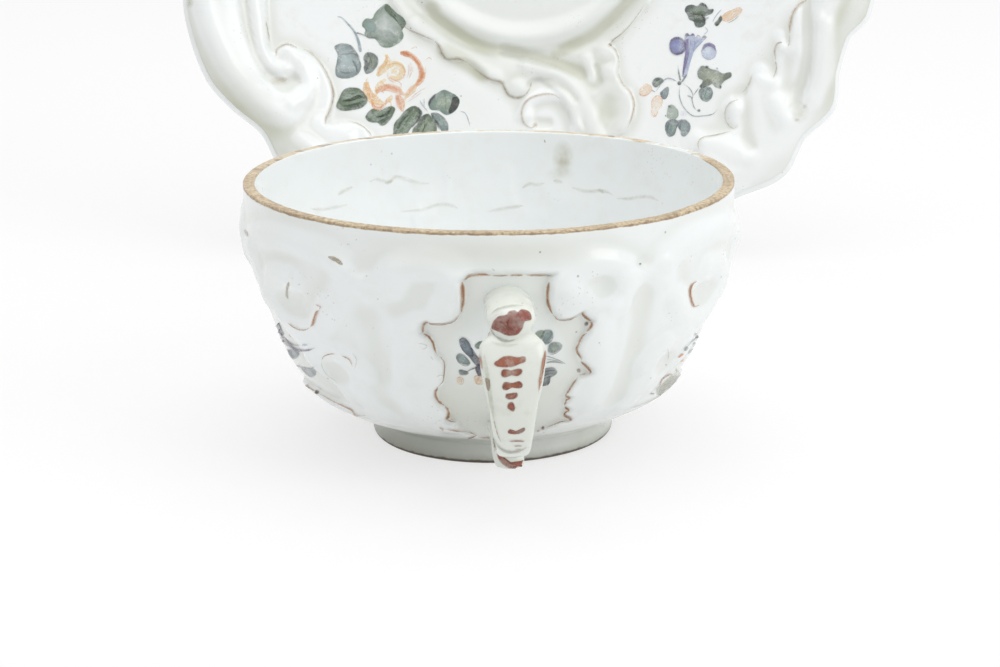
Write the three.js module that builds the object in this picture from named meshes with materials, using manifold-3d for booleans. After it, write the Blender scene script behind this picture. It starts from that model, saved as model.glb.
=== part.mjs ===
// A broth cup with two scroll handles, and its lobed saucer standing on edge behind it.
// Glazed earthenware. Millimetres, +Z up, the camera's side of the pair faces -Y.
import * as THREE from 'three';
import Module from 'manifold-3d';
import { mergeVertices } from 'three/addons/utils/BufferGeometryUtils.js';

const wasm = await Module();
wasm.setup();

// Driving sizes of the cup
const rimRadius = 62;
const cupHeight = 66;
const cupWall = 3.4;
const cupFloor = 4.2;
const rimRound = 1.1;
const cupFootHeight = 6.5;
const cupFootRadius = 31;
const cupFootWidth = 5.5;
const cupYawDegrees = 4;

// Driving sizes of a handle
const handleReach = 20;
const scrollWidth = 10.8;
const scrollThickness = 4.4;
const strapWidth = 15;
const strapThickness = 3.9;
const leafWidth = 9;
const leafThickness = 3.2;

// Driving sizes of the saucer
const saucerRadius = 118;
const saucerDepth = 22;
const saucerThickness = 4.6;
const saucerFootRadius = 46;
const saucerFootWidth = 6;
const saucerFootHeight = 5;
const wellRadius = 35;
const wellRingWidth = 8;
const wellRingHeight = 3.4;
const collarWidth = 7;
const borderWidth = 23;
const lipWidth = 8;
const lipDrop = 4.4;

// Where the saucer stands, behind the cup and to its right, and how far it leans back
const saucerSetBack = 163;
const saucerSetRight = 12;
const saucerLeanDegrees = 12;

// Clearances
const lutingGap = 0.3;

// Heights and softness of the moulded relief
const panelDepth = 1;
const panelEdge = 1.4;
const browRise = 0.7;
const collarHeight = 1.2;
const borderHeight = 1.3;
const reliefEdge = 2;
const innerReliefShare = 0.15;

// Fineness of the meshes
const cupColumns = 144;
const saucerColumns = 138;
const ringColumns = 48;
const strapSides = 12;
const strapSteps = 16;
const lineSteps = 3;

// The bowl's outer profile, as shares of the cup's height and of its rim radius
const bowlHeightShares = [0.106, 0.136, 0.174, 0.22, 0.333, 0.485, 0.667, 0.848, 1];
const bowlRadiusShares = [0.532, 0.621, 0.685, 0.75, 0.848, 0.913, 0.969, 0.997, 1];

// Half the width of the panel round a handle, in degrees, at shares of the cup's height
const handlePanelHeightShares = [0.15, 0.2, 0.25, 0.34, 0.43, 0.5, 0.58, 0.63, 0.68, 0.71, 0.75, 0.86];
const handlePanelHalfAngles = [3, 13, 17, 16.5, 18.5, 17.2, 17.5, 19.3, 16, 11, 9.3, 9.4];

// Half the width of a side panel, in the same way
const sidePanelHeightShares = [0.2, 0.26, 0.36, 0.46, 0.56, 0.64, 0.72, 0.78];
const sidePanelHalfAngles = [22, 40, 38, 32, 22, 17, 12, 6];

// The upper edge of the relief, as degrees from a handle and shares of the cup's height
const browAngles = [0, 11, 15, 20, 28, 33, 38, 48, 60, 72, 84, 90];
const browHeightShares = [0.855, 0.86, 0.89, 0.905, 0.885, 0.84, 0.87, 0.91, 0.925, 0.9, 0.87, 0.865];

// Moulding beside a handle's panel: lines of degrees and height shares, each with a reach and a rise
const bowlMoulding = [
  { reach: 5.4, rise: 1.1, turnShares: [[11.5, 0.8], [12.5, 0.85], [18, 0.878], [24, 0.852],
      [26.5, 0.79], [25, 0.73]] },
  { reach: 5.6, rise: 0.8, turnShares: [[14.5, 0.765], [15.5, 0.755]] },
  { reach: 5.4, rise: 0.9, turnShares: [[21, 0.7], [21.5, 0.56], [22.8, 0.44], [22, 0.31]] },
  { reach: 5.4, rise: 1.1, turnShares: [[-25.5, 0.79], [-24, 0.86], [-18, 0.885], [-12.5, 0.86],
      [-12, 0.78], [-13.5, 0.72]] },
  { reach: 6.6, rise: 0.9, turnShares: [[-28, 0.37], [-22, 0.31], [-17, 0.25]] },
  { reach: 5.4, rise: 0.7, turnShares: [[-21.5, 0.66], [-22.5, 0.56], [-25, 0.46]] },
  { reach: 4.6, rise: -0.8, turnShares: [[21.5, 0.79], [22, 0.77]] },
  { reach: 5, rise: -0.6, turnShares: [[-21.5, 0.75], [-24, 0.72]] },
  { reach: 5, rise: -0.9, turnShares: [[32, 0.72], [32, 0.5], [31, 0.32]] },
  { reach: 5, rise: -0.6, turnShares: [[-32, 0.66], [-31, 0.5], [-30, 0.34]] },
];

// Moulding farther round, the same on both sides
const sideMoulding = [
  { reach: 5.6, rise: 0.6, turnShares: [[37, 0.8], [41, 0.66], [42, 0.5], [40, 0.36], [37, 0.26]] },
  { reach: 5.2, rise: 0.8, turnShares: [[38, 0.86], [45, 0.9], [56, 0.91], [68, 0.87], [76, 0.8]] },
  { reach: 5, rise: 1.1, turnShares: [[43, 0.68], [48, 0.58], [56, 0.545], [63, 0.585], [66, 0.66],
      [62, 0.74], [54, 0.76]] },
  { reach: 4.8, rise: 1, turnShares: [[72, 0.8], [70, 0.66], [71, 0.52], [66, 0.42], [58, 0.36]] },
  { reach: 4.4, rise: 0.9, turnShares: [[36, 0.44], [41, 0.5], [49, 0.5], [54, 0.44], [52, 0.36]] },
  { reach: 4.4, rise: 0.7, turnShares: [[34, 0.24], [44, 0.21], [56, 0.215], [70, 0.25], [84, 0.23],
      [90, 0.22]] },
  { reach: 4.2, rise: 1, turnShares: [[90, 0.88], [84, 0.84], [82, 0.76], [87, 0.7], [90, 0.695]] },
  { reach: 4.4, rise: -0.8, turnShares: [[53, 0.665], [57, 0.66]] },
  { reach: 4.2, rise: -0.8, turnShares: [[44, 0.41], [47, 0.4]] },
];

// Paths of the handle's pieces: out from the bowl as shares of the reach, and up as shares of the height
const scrollOutShares = [-0.25, 0, 0.3, 0.5, 0.64, 0.75, 0.83];
const scrollHeightShares = [0.755, 0.762, 0.765, 0.762, 0.753, 0.739, 0.722];
const scrollWidthShares = [1.34, 1.11, 1, 1, 1.02, 1.01, 0.94];
const scrollThickShares = [1, 1, 1, 1.03, 1.1, 1.17, 1.2];
const strapOutShares = [0.6, 0.72, 0.84, 0.95, 1.06, 1.13, 1.13, 1.06, 0.95, 0.82, 0.72];
const strapHeightShares = [0.69, 0.672, 0.652, 0.615, 0.55, 0.46, 0.37, 0.3, 0.25, 0.222, 0.21];
const strapWidthShares = [0.57, 0.67, 1.01, 1, 0.9, 0.75, 0.64, 0.56, 0.51, 0.44, 0.3];
const evenThickShares = [1, 1];
const leafOutShares = [-0.17, 0.19, 0.55, 0.85, 1.1];
const leafHeightShares = [0.235, 0.232, 0.205, 0.168, 0.13];
const leafWidthShares = [1.22, 1.04, 1, 0.98, 0.82];

// The saucer's lobed edge over half a turn, repeated for the other half: degrees and radius shares
const edgeAngles = [180, 190, 199, 208, 214, 220, 226, 236, 246, 254, 262, 270, 278, 288, 297, 305,
  314, 320, 326, 332, 337, 342, 350, 360];
const edgeRadiusShares = [0.985, 0.97, 0.992, 1.004, 0.987, 0.964, 0.99, 1.01, 0.995, 0.98, 0.99, 0.98,
  0.99, 0.985, 0.985, 0.996, 1.037, 1.01, 1.028, 0.985, 0.972, 1.003, 0.998, 0.985];

// Outlines of the raised mouldings on the saucer's lower half: degrees and radius shares
const collarAngles = [180, 190, 216, 236, 242, 248, 256, 263, 267, 271, 274, 280, 283, 289, 295, 299,
  301, 303, 318, 340, 360];
const collarEdgeShares = [0.45, 0.46, 0.455, 0.444, 0.466, 0.449, 0.474, 0.5, 0.523, 0.495, 0.468,
  0.514, 0.621, 0.678, 0.67, 0.56, 0.5, 0.473, 0.432, 0.44, 0.45];
const borderAngles = [180, 195, 204, 210, 214, 218, 222, 226, 231, 240, 270, 300, 308, 314, 321, 325,
  330, 336, 344, 360];
const borderEdgeShares = [0.77, 0.742, 0.785, 0.76, 0.721, 0.714, 0.729, 0.777, 0.765, 0.78, 0.8, 0.84,
  0.815, 0.83, 0.796, 0.834, 0.804, 0.805, 0.813, 0.77];

// Moulding of the saucer's lower half: lines of degrees and radius shares, each with a reach and a rise
const saucerMoulding = [
  { reach: 6.8, rise: 1.5, turnShares: [[180, 0.925], [206, 0.925], [211.5, 0.915], [217, 0.9],
      [220.5, 0.865], [220, 0.82]] },
  { reach: 4.2, rise: 0.6, turnShares: [[184, 0.865], [200, 0.865], [208.5, 0.865], [213, 0.865],
      [216.5, 0.85]] },
  { reach: 3.2, rise: 1.2, turnShares: [[190, 0.77], [197, 0.785], [204.5, 0.81], [208.5, 0.825],
      [212, 0.82], [213.5, 0.795]] },
  { reach: 3.6, rise: 1, turnShares: [[211.5, 0.765], [215, 0.755], [218.5, 0.77], [220.2, 0.8],
      [219.5, 0.84]] },
  { reach: 3.6, rise: 0.8, turnShares: [[225, 0.89], [228.5, 0.88]] },
  { reach: 4.2, rise: 0.9, turnShares: [[226, 0.82], [229, 0.815], [231.5, 0.8]] },
  { reach: 3.8, rise: 1.3, turnShares: [[267.6, 0.496], [268, 0.496]] },
  { reach: 3.6, rise: 1.3, turnShares: [[270.5, 0.432], [279.5, 0.465], [283.5, 0.5], [286, 0.545],
      [287, 0.6], [287.5, 0.66]] },
  { reach: 3.4, rise: 1.5, turnShares: [[269.5, 0.575], [271, 0.535], [275.5, 0.52], [280.5, 0.532],
      [283.2, 0.575], [283, 0.63]] },
  { reach: 2.8, rise: 0.8, turnShares: [[292.5, 0.45], [291.5, 0.51]] },
  { reach: 3.6, rise: 1, turnShares: [[299.3, 0.455], [299.6, 0.455]] },
  { reach: 3.6, rise: 0.9, turnShares: [[297.3, 0.51], [297.6, 0.51]] },
  { reach: 3.6, rise: 0.8, turnShares: [[298.5, 0.59], [297, 0.635], [294, 0.665]] },
  { reach: 3.4, rise: 0.6, turnShares: [[226, 0.44], [234, 0.437], [241, 0.45], [250, 0.452],
      [260, 0.472]] },
  { reach: 5.4, rise: 1.3, turnShares: [[360, 0.925], [350, 0.9], [340, 0.875], [335, 0.9],
      [330.8, 0.935], [326, 0.955]] },
  { reach: 3.4, rise: 0.8, turnShares: [[338, 0.872], [338.3, 0.872]] },
  { reach: 2.8, rise: 0.8, turnShares: [[333, 0.79], [331, 0.815]] },
  { reach: 4.6, rise: 1.1, turnShares: [[324.5, 0.8], [324, 0.83]] },
  { reach: 4.6, rise: 1.3, turnShares: [[315.7, 0.8], [316.1, 0.8]] },
  { reach: 4, rise: 1.1, turnShares: [[321.5, 0.875], [320, 0.925]] },
  { reach: 4.8, rise: 1, turnShares: [[306, 0.8], [309, 0.85], [311.5, 0.93]] },
  { reach: 2.4, rise: -0.7, turnShares: [[180, 0.8], [196.5, 0.812], [203.5, 0.835], [208.5, 0.845],
      [212, 0.85]] },
  { reach: 3, rise: -1.3, turnShares: [[213, 0.845], [216, 0.83], [216.3, 0.8]] },
  { reach: 3.6, rise: -1.1, turnShares: [[262, 0.395], [270, 0.405], [280, 0.425], [285, 0.445],
      [289, 0.48], [291.5, 0.525]] },
  { reach: 3, rise: -0.6, turnShares: [[285, 0.405], [299, 0.408], [310, 0.398], [322, 0.392]] },
  { reach: 2.8, rise: -1, turnShares: [[273.5, 0.597], [276, 0.6]] },
  { reach: 4.6, rise: -0.8, turnShares: [[293, 0.585], [292, 0.61]] },
  { reach: 3, rise: -1.3, turnShares: [[360, 0.8], [350, 0.8], [340, 0.825], [331.5, 0.88],
      [327.5, 0.905], [323.5, 0.92]] },
  { reach: 5.2, rise: -1, turnShares: [[329, 0.85], [325.5, 0.885]] },
  { reach: 3.4, rise: -1.1, turnShares: [[319, 0.8], [314.5, 0.87], [312.5, 0.91]] },
];

// Values that follow from the driving sizes
const cupUnderside = cupFootHeight + lutingGap;
const cupFloorTop = cupUnderside + cupFloor;
const wellFloorOut = -saucerDepth;
const wellRingCrest = wellRadius + wellRingWidth * 0.7;
const foldRadius = wellRingCrest + wellRingWidth * 0.75;
const wellCollarRadius = foldRadius + collarWidth;
const borderRadius = saucerRadius - borderWidth;
const lipRadius = saucerRadius - lipWidth;
const bowlMapRadius = rimRadius * 0.9;

// A soft step from 0 to 1, which may run either way
function smoothStep(from, to, value) {
  const part = THREE.MathUtils.clamp((value - from) / (to - from), 0, 1);
  return part * part * (3 - 2 * part);
}

function radians(degrees) {
  return THREE.MathUtils.degToRad(degrees);
}

// A smooth value between hand-chosen knots, with level ends to each hump and hollow
function between(knots, values, at) {
  const last = knots.length - 1;
  if (at <= knots[0]) return values[0];
  if (at >= knots[last]) return values[last];
  const next = knots.findIndex((knot) => knot > at);
  const here = next - 1;
  const span = knots[next] - knots[here];
  const part = (at - knots[here]) / span;
  const slopeAt = (i) => {
    if (i === 0 || i === last) return 0;
    const before = (values[i] - values[i - 1]) / (knots[i] - knots[i - 1]);
    const after = (values[i + 1] - values[i]) / (knots[i + 1] - knots[i]);
    return before * after <= 0 ? 0 : (2 * before * after) / (before + after);
  };
  const square = part * part;
  const cube = square * part;
  return values[here] * (2 * cube - 3 * square + 1)
    + slopeAt(here) * span * (cube - 2 * square + part)
    + values[next] * (3 * square - 2 * cube)
    + slopeAt(next) * span * (cube - square);
}

// Degrees from the nearest of several directions a given turn apart
function offsetFrom(angle, start, turn) {
  const offset = THREE.MathUtils.euclideanModulo(angle - start + turn / 2, turn);
  return offset - turn / 2;
}

// A soft dome of unit height, flat at its rim
function dome(distanceShare) {
  const inside = Math.max(0, 1 - distanceShare * distanceShare);
  return inside * inside;
}

// Short straight stretches along a smooth line through places on a flat map
function mouldingLine({ turnShares, reach, rise }, toMap) {
  const corners = turnShares.map(([degrees, share]) => toMap(degrees, share));
  const curve = new THREE.CatmullRomCurve3(corners);
  return { stretches: curve.getPoints(lineSteps * (corners.length - 1)), reach, rise };
}

function gapToStretch(x, y, from, to) {
  const alongX = to.x - from.x;
  const alongY = to.y - from.y;
  const share = ((x - from.x) * alongX + (y - from.y) * alongY) / (alongX * alongX + alongY * alongY);
  const held = THREE.MathUtils.clamp(share, 0, 1);
  return Math.hypot(x - from.x - held * alongX, y - from.y - held * alongY);
}

// The height that moulded lines add up to at a place on their map
function mouldingAt(lines, x, y) {
  let raised = 0;
  for (const { stretches, reach, rise } of lines) {
    let gap = reach;
    for (let i = 1; i < stretches.length; i += 1) {
      gap = Math.min(gap, gapToStretch(x, y, stretches[i - 1], stretches[i]));
    }
    raised += rise * dome(gap / reach);
  }
  return raised;
}

// A closed skin over rings of points: either capped at both ends, or joined end to end
function skinOver(rings, capped) {
  const count = rings[0].length;
  const points = rings.flat();
  const indices = [];
  const bands = capped ? rings.length - 1 : rings.length;
  for (let i = 0; i < bands; i += 1) {
    const near = i * count;
    const far = ((i + 1) % rings.length) * count;
    for (let j = 0; j < count; j += 1) {
      const k = (j + 1) % count;
      indices.push(near + j, near + k, far + k, near + j, far + k, far + j);
    }
  }
  if (capped) {
    const start = points.push(centreOf(rings[0])) - 1;
    const end = points.push(centreOf(rings[rings.length - 1])) - 1;
    const lastRing = (rings.length - 1) * count;
    for (let j = 0; j < count; j += 1) {
      const k = (j + 1) % count;
      indices.push(start, k, j, end, lastRing + j, lastRing + k);
    }
  }
  const geometry = new THREE.BufferGeometry().setFromPoints(points);
  geometry.setIndex(indices);
  return geometry;
}

function centreOf(ring) {
  const sum = ring.reduce((total, point) => total.add(point), new THREE.Vector3());
  return sum.divideScalar(ring.length);
}

// A ring of points about Z, from a radius and a height that may change with the angle in degrees
function ringAbout(columns, radiusAt, heightAt) {
  return Array.from({ length: columns }, (unused, j) => {
    const degrees = (360 * j) / columns;
    const radius = radiusAt(degrees);
    const x = radius * Math.cos(radians(degrees));
    const y = radius * Math.sin(radians(degrees));
    return new THREE.Vector3(x, y, heightAt(degrees));
  });
}

// A plain turned ring from a closed outline of radius and height pairs
function turnedRing(outline) {
  const rings = outline.map(([radius, height]) => ringAbout(ringColumns, () => radius, () => height));
  return skinOver(rings, false);
}

function toManifold(geometry) {
  const bare = geometry.clone();
  bare.deleteAttribute('normal');
  bare.deleteAttribute('uv');
  const merged = mergeVertices(bare);
  const vertProperties = Float32Array.from(merged.attributes.position.array);
  const triVerts = Uint32Array.from(merged.index.array);
  return new wasm.Manifold(new wasm.Mesh({ numProp: 3, vertProperties, triVerts }));
}

function cutBy(geometry, cutters) {
  let solid = toManifold(geometry);
  for (const cutter of cutters) solid = solid.subtract(toManifold(cutter));
  const { vertProperties, triVerts } = solid.getMesh();
  const cut = new THREE.BufferGeometry();
  cut.setAttribute('position', new THREE.BufferAttribute(Float32Array.from(vertProperties), 3));
  cut.setIndex(new THREE.BufferAttribute(Uint32Array.from(triVerts), 1));
  return cut;
}

// The bowl

function bowlRadius(height) {
  return rimRadius * between(bowlHeightShares, bowlRadiusShares, height / cupHeight);
}

// How far a place lies inside a panel: 0 outside, 1 inside, with a soft edge between
function insidePanel(offset, height, heightShares, halfAngles) {
  const top = cupHeight * heightShares[heightShares.length - 1];
  const bottom = cupHeight * heightShares[0];
  const half = between(heightShares, halfAngles, height / cupHeight);
  const sideways = radians(half - Math.abs(offset)) * bowlRadius(height);
  const inwards = Math.min(sideways, top - height, height - bottom);
  return smoothStep(-panelEdge / 2, panelEdge / 2, inwards);
}

function onBowlMap(degrees, heightShare) {
  return new THREE.Vector3(radians(degrees) * bowlMapRadius, cupHeight * heightShare, 0);
}

const bowlLines = bowlMoulding.map((line) => mouldingLine(line, onBowlMap));
const sideLines = sideMoulding.map((line) => mouldingLine(line, onBowlMap));

// The moulded relief of the bowl, outwards, at degrees round from +X and a height
function bowlRelief(degrees, height) {
  const fromHandle = offsetFrom(degrees, -90, 180);
  const fromSide = offsetFrom(degrees, 0, 180);
  const handlePanel = insidePanel(fromHandle, height, handlePanelHeightShares, handlePanelHalfAngles);
  const sidePanel = insidePanel(fromSide, height, sidePanelHeightShares, sidePanelHalfAngles);
  const across = radians(fromHandle) * bowlMapRadius;
  const brow = cupHeight * between(browAngles, browHeightShares, Math.abs(fromHandle));
  const raised = browRise * smoothStep(brow + reliefEdge, brow - reliefEdge, height)
    + mouldingAt(bowlLines, across, height) + mouldingAt(sideLines, Math.abs(across), height);
  const outside = 1 - Math.max(handlePanel, sidePanel * 0.75);
  const plainRim = smoothStep(cupHeight, cupHeight * 0.93, height);
  const plainFoot = smoothStep(cupUnderside, cupUnderside + cupHeight / 10, height);
  return (raised * outside - panelDepth * Math.max(handlePanel, sidePanel)) * plainRim * plainFoot;
}

function bowlOuterRing(height, grow) {
  return ringAbout(cupColumns, (degrees) => bowlRadius(height) + bowlRelief(degrees, height) + grow,
    () => height);
}

function bowlOuterHeights() {
  const wallRows = 22;
  const wallTop = cupHeight - rimRound;
  const lower = [0, 0.035, 0.075, 0.12].map((share) => cupUnderside + share * cupHeight);
  const start = lower[lower.length - 1];
  const rise = (wallTop - start) / wallRows;
  const upper = Array.from({ length: wallRows }, (unused, i) => start + (i + 1) * rise);
  return [...lower, ...upper];
}

function bowlInnerRing(height) {
  const wallHere = cupWall * (1 + smoothStep(cupFloorTop + cupHeight / 4, cupFloorTop, height));
  return ringAbout(cupColumns, (degrees) => bowlRadius(height) - wallHere
    + bowlRelief(degrees, height) * innerReliefShare, () => height);
}

function cupBowl() {
  const plainRing = (radius, height) => ringAbout(cupColumns, () => radius, () => height);
  const centreRadius = cupFootRadius / 2;
  const rings = [plainRing(centreRadius, cupUnderside)];
  for (const height of bowlOuterHeights()) rings.push(bowlOuterRing(height, 0));
  rings.push(plainRing(rimRadius - cupWall / 4, cupHeight - rimRound / 4));
  rings.push(plainRing(rimRadius - cupWall / 2, cupHeight));
  rings.push(plainRing(rimRadius - cupWall * 0.8, cupHeight - rimRound / 4));
  const innerShares = [0.985, 0.88, 0.74, 0.6, 0.47, 0.36, 0.27];
  for (const share of innerShares) rings.push(bowlInnerRing(cupHeight * share));
  rings.push(plainRing(bowlRadius(cupFloorTop + cupWall) * 0.62, cupFloorTop + cupWall * 0.4));
  rings.push(plainRing(centreRadius * 0.8, cupFloorTop));
  return skinOver(rings, true);
}

// The solid that the handle's ends are cut back by, a luting gap outside the bowl
function bowlCutter() {
  const rings = bowlOuterHeights().map((height) => bowlOuterRing(height, lutingGap));
  return skinOver(rings, true);
}

function cupFootRing() {
  const outer = cupFootRadius;
  const inner = cupFootRadius - cupFootWidth;
  const soft = cupFootWidth / 5;
  return turnedRing([
    [inner + soft, 0], [outer - soft, 0], [outer, soft], [outer - soft / 2, cupFootHeight / 2],
    [outer + soft / 2, cupFootHeight], [inner - soft, cupFootHeight], [inner, soft],
  ]);
}

// The handles

// A place beside the bowl in the handle's own plane: out along -Y, up along Z
function besideBowl(outShare, heightShare) {
  const height = cupHeight * heightShare;
  return new THREE.Vector3(0, -(bowlRadius(height) + handleReach * outShare), height);
}

// A share at part t of a bar's length, from shares that stand evenly along it
function alongBar(shares, t) {
  const knots = shares.map((share, i) => i / (shares.length - 1));
  return between(knots, shares, t);
}

// A flattened bar swept along a path in the handle's plane, with rounded ends
function sweptBar({ outShares, heightShares, widthShares, thickShares, width, thickness }, grow) {
  const path = new THREE.CatmullRomCurve3(outShares.map((share, i) => besideBowl(share, heightShares[i])));
  const side = new THREE.Vector3(1, 0, 0);
  const endRound = 0.045;
  const rings = Array.from({ length: strapSteps + 1 }, (unused, i) => {
    const t = i / strapSteps;
    const along = path.getTangent(t);
    const across = new THREE.Vector3().crossVectors(along, side);
    const nearEnd = Math.min(1, Math.sqrt(Math.min(t, 1 - t) / endRound + 0.16));
    const halfWidth = (width * alongBar(widthShares, t) * nearEnd) / 2 + grow;
    const halfThickness = (thickness * alongBar(thickShares, t) * nearEnd) / 2 + grow;
    return sectionRing(path.getPoint(t), side, across, halfWidth, halfThickness);
  });
  return skinOver(rings, true);
}

// One rounded, slightly boxy section of a bar
function sectionRing(centre, side, across, halfWidth, halfThickness) {
  const boxy = 0.8;
  return Array.from({ length: strapSides }, (unused, j) => {
    const turn = (2 * Math.PI * j) / strapSides;
    const sideways = Math.sign(Math.cos(turn)) * Math.abs(Math.cos(turn)) ** boxy;
    const outwards = Math.sign(Math.sin(turn)) * Math.abs(Math.sin(turn)) ** boxy;
    return centre.clone()
      .addScaledVector(side, sideways * halfWidth)
      .addScaledVector(across, outwards * halfThickness);
  });
}

function upperScroll(grow) {
  return sweptBar({
    outShares: scrollOutShares, heightShares: scrollHeightShares, widthShares: scrollWidthShares,
    thickShares: scrollThickShares, width: scrollWidth, thickness: scrollThickness,
  }, grow);
}

function lowerStrap(grow) {
  return sweptBar({
    outShares: strapOutShares, heightShares: strapHeightShares, widthShares: strapWidthShares,
    thickShares: evenThickShares, width: strapWidth, thickness: strapThickness,
  }, grow);
}

function tipLeaf() {
  return sweptBar({
    outShares: leafOutShares, heightShares: leafHeightShares, widthShares: leafWidthShares,
    thickShares: evenThickShares, width: leafWidth, thickness: leafThickness,
  }, 0);
}

// The saucer, modelled face up about its own Z, with its rim at height 0

function edgeRadius(degrees) {
  const within = 180 + THREE.MathUtils.euclideanModulo(degrees, 180);
  return saucerRadius * between(edgeAngles, edgeRadiusShares, within);
}

// The face's plain section, from the well out to the lip that rolls down at the rim
function facePlain(radius) {
  const crest = wellFloorOut + wellRingHeight;
  const fold = wellFloorOut + wellRingHeight * 0.24;
  const knots = [wellRadius, wellRingCrest, foldRadius, wellCollarRadius, borderRadius, lipRadius,
    saucerRadius];
  const rise = [wellFloorOut, crest, fold, -0.88 * saucerDepth, -0.36 * saucerDepth, -0.12 * saucerDepth,
    -lipDrop];
  return between(knots, rise, radius);
}

function onSaucerMap(degrees, radiusShare) {
  const radius = saucerRadius * radiusShare;
  return new THREE.Vector3(radius * Math.cos(radians(degrees)), radius * Math.sin(radians(degrees)), 0);
}

const saucerLines = saucerMoulding.map((line) => mouldingLine(line, onSaucerMap));

// The face's moulding; the upper half repeats the lower one, half turned round
function faceRelief(degrees, radius) {
  const within = 180 + THREE.MathUtils.euclideanModulo(degrees, 180);
  const place = onSaucerMap(within, radius / saucerRadius);
  const collarEdge = saucerRadius * between(collarAngles, collarEdgeShares, within);
  const collar = smoothStep(collarEdge + reliefEdge / 2, collarEdge - reliefEdge / 2, radius)
    * smoothStep(foldRadius, foldRadius + reliefEdge, radius);
  const borderEdge = saucerRadius * between(borderAngles, borderEdgeShares, within);
  const border = smoothStep(borderEdge - reliefEdge / 2, borderEdge + reliefEdge / 2, radius);
  const settled = smoothStep(saucerRadius * 1.03, saucerRadius * 0.94, radius);
  const raised = collarHeight * collar + borderHeight * border + mouldingAt(saucerLines, place.x, place.y);
  return raised * settled;
}

// A radius stretched towards the lobed edge as it nears it
function lobed(radius, degrees) {
  const reach = smoothStep(borderRadius * 0.8, saucerRadius, radius);
  return radius * (1 + (edgeRadius(degrees) / saucerRadius - 1) * reach);
}

function faceRing(radius) {
  return ringAbout(saucerColumns, (degrees) => lobed(radius, degrees),
    (degrees) => facePlain(radius) + faceRelief(degrees, lobed(radius, degrees)));
}

function backRing(radius) {
  return ringAbout(saucerColumns, (degrees) => lobed(radius, degrees), () => backHeight(radius));
}

// The back follows the face's plain section, with a flat band where the foot is luted on
function backHeight(radius) {
  const flatTo = saucerFootRadius + saucerFootWidth;
  const flat = wellFloorOut - saucerThickness;
  const knots = [flatTo, borderRadius, lipRadius, saucerRadius];
  const rise = [flat, -0.36 * saucerDepth - saucerThickness, -0.164 * saucerDepth - saucerThickness,
    -lipDrop - saucerThickness];
  return between(knots, rise, radius);
}

function saucerDish() {
  const evenShares = (count) => Array.from({ length: count }, (unused, i) => i / count);
  const inwards = [
    saucerRadius * 0.985,
    ...stepsBetween(saucerRadius * 0.965, wellCollarRadius, evenShares(19)),
    ...stepsBetween(wellCollarRadius, foldRadius, evenShares(3)),
    ...stepsBetween(foldRadius, wellRingCrest, evenShares(2)),
    ...stepsBetween(wellRingCrest, wellRadius, evenShares(2)),
    wellRadius,
    wellRadius / 2,
  ];
  const backShares = [0.62, 0.8, 0.93, 0.98];
  const backRadii = [
    wellRadius / 2,
    saucerFootRadius + saucerFootWidth,
    ...backShares.map((share) => saucerRadius * share),
  ];
  const rimShares = [0.7, 0.3];
  const rim = rimShares.map((share) => {
    const level = -lipDrop - saucerThickness * share;
    return ringAbout(saucerColumns, edgeRadius, () => level);
  });
  return skinOver([...backRadii.map(backRing), ...rim, ...inwards.map(faceRing)], true);
}

function stepsBetween(from, to, shares) {
  return shares.map((share) => THREE.MathUtils.lerp(from, to, share));
}

function saucerFootRing() {
  const top = wellFloorOut - saucerThickness - lutingGap;
  const bottom = top - saucerFootHeight;
  const outer = saucerFootRadius + saucerFootWidth / 2;
  const inner = saucerFootRadius - saucerFootWidth / 2;
  const soft = saucerFootWidth / 5;
  return turnedRing([
    [inner + soft, bottom], [outer - soft, bottom], [outer, bottom + soft], [outer + soft, top],
    [inner - soft, top], [inner, bottom + soft],
  ]);
}

// Scene graph

function piece(name, geometry, colour, roughness) {
  const flat = geometry.toNonIndexed();
  flat.computeVertexNormals();
  const material = new THREE.MeshStandardMaterial({ color: colour, roughness, metalness: 0 });
  const mesh = new THREE.Mesh(flat, material);
  mesh.name = name;
  return mesh;
}

const glazeWhite = 0xe9edeb;
const glazeShade = 0xdfe3df;
const strokeRed = 0xb98a72;
const rimTan = 0xe4dccb;

function handlePieces(prefix) {
  const cutter = bowlCutter();
  const scroll = cutBy(upperScroll(0), [cutter]);
  const strap = cutBy(lowerStrap(0), [cutter, upperScroll(lutingGap)]);
  const leaf = cutBy(tipLeaf(), [cutter, lowerStrap(lutingGap)]);
  const handle = new THREE.Group();
  handle.add(piece(`${prefix}_handle_upper_scroll`, scroll, glazeWhite, 0.22));
  handle.add(piece(`${prefix}_handle_lower_strap`, strap, strokeRed, 0.25));
  handle.add(piece(`${prefix}_handle_tip_leaf`, leaf, glazeShade, 0.25));
  return handle;
}

function cup() {
  const group = new THREE.Group();
  group.add(piece('cup_bowl', cupBowl(), glazeWhite, 0.2));
  group.add(piece('cup_foot_ring', cupFootRing(), glazeShade, 0.35));
  const front = handlePieces('front');
  const rear = handlePieces('rear');
  rear.rotation.z = Math.PI;
  group.add(front, rear);
  group.rotation.z = radians(cupYawDegrees);
  return group;
}

function saucer() {
  const group = new THREE.Group();
  group.add(piece('saucer_dish', saucerDish(), rimTan, 0.22));
  group.add(piece('saucer_foot_ring', saucerFootRing(), glazeShade, 0.35));
  group.rotation.x = Math.PI / 2 - radians(saucerLeanDegrees);
  group.position.set(saucerSetRight, saucerSetBack + saucerRadius * Math.sin(radians(saucerLeanDegrees)), 0);
  group.position.z = -new THREE.Box3().setFromObject(group, true).min.z;
  return group;
}

// The pair stands on Z = 0, with the origin under the middle of its bounding box
const pair = new THREE.Group();
pair.add(cup(), saucer());
const bounds = new THREE.Box3().setFromObject(pair, true);
const middle = bounds.getCenter(new THREE.Vector3());
pair.position.set(-middle.x, -middle.y, -bounds.min.z);

export default pair;
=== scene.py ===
"""A broth cup with two scroll handles, and its lobed saucer on edge behind it, in a white studio."""

import math

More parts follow.
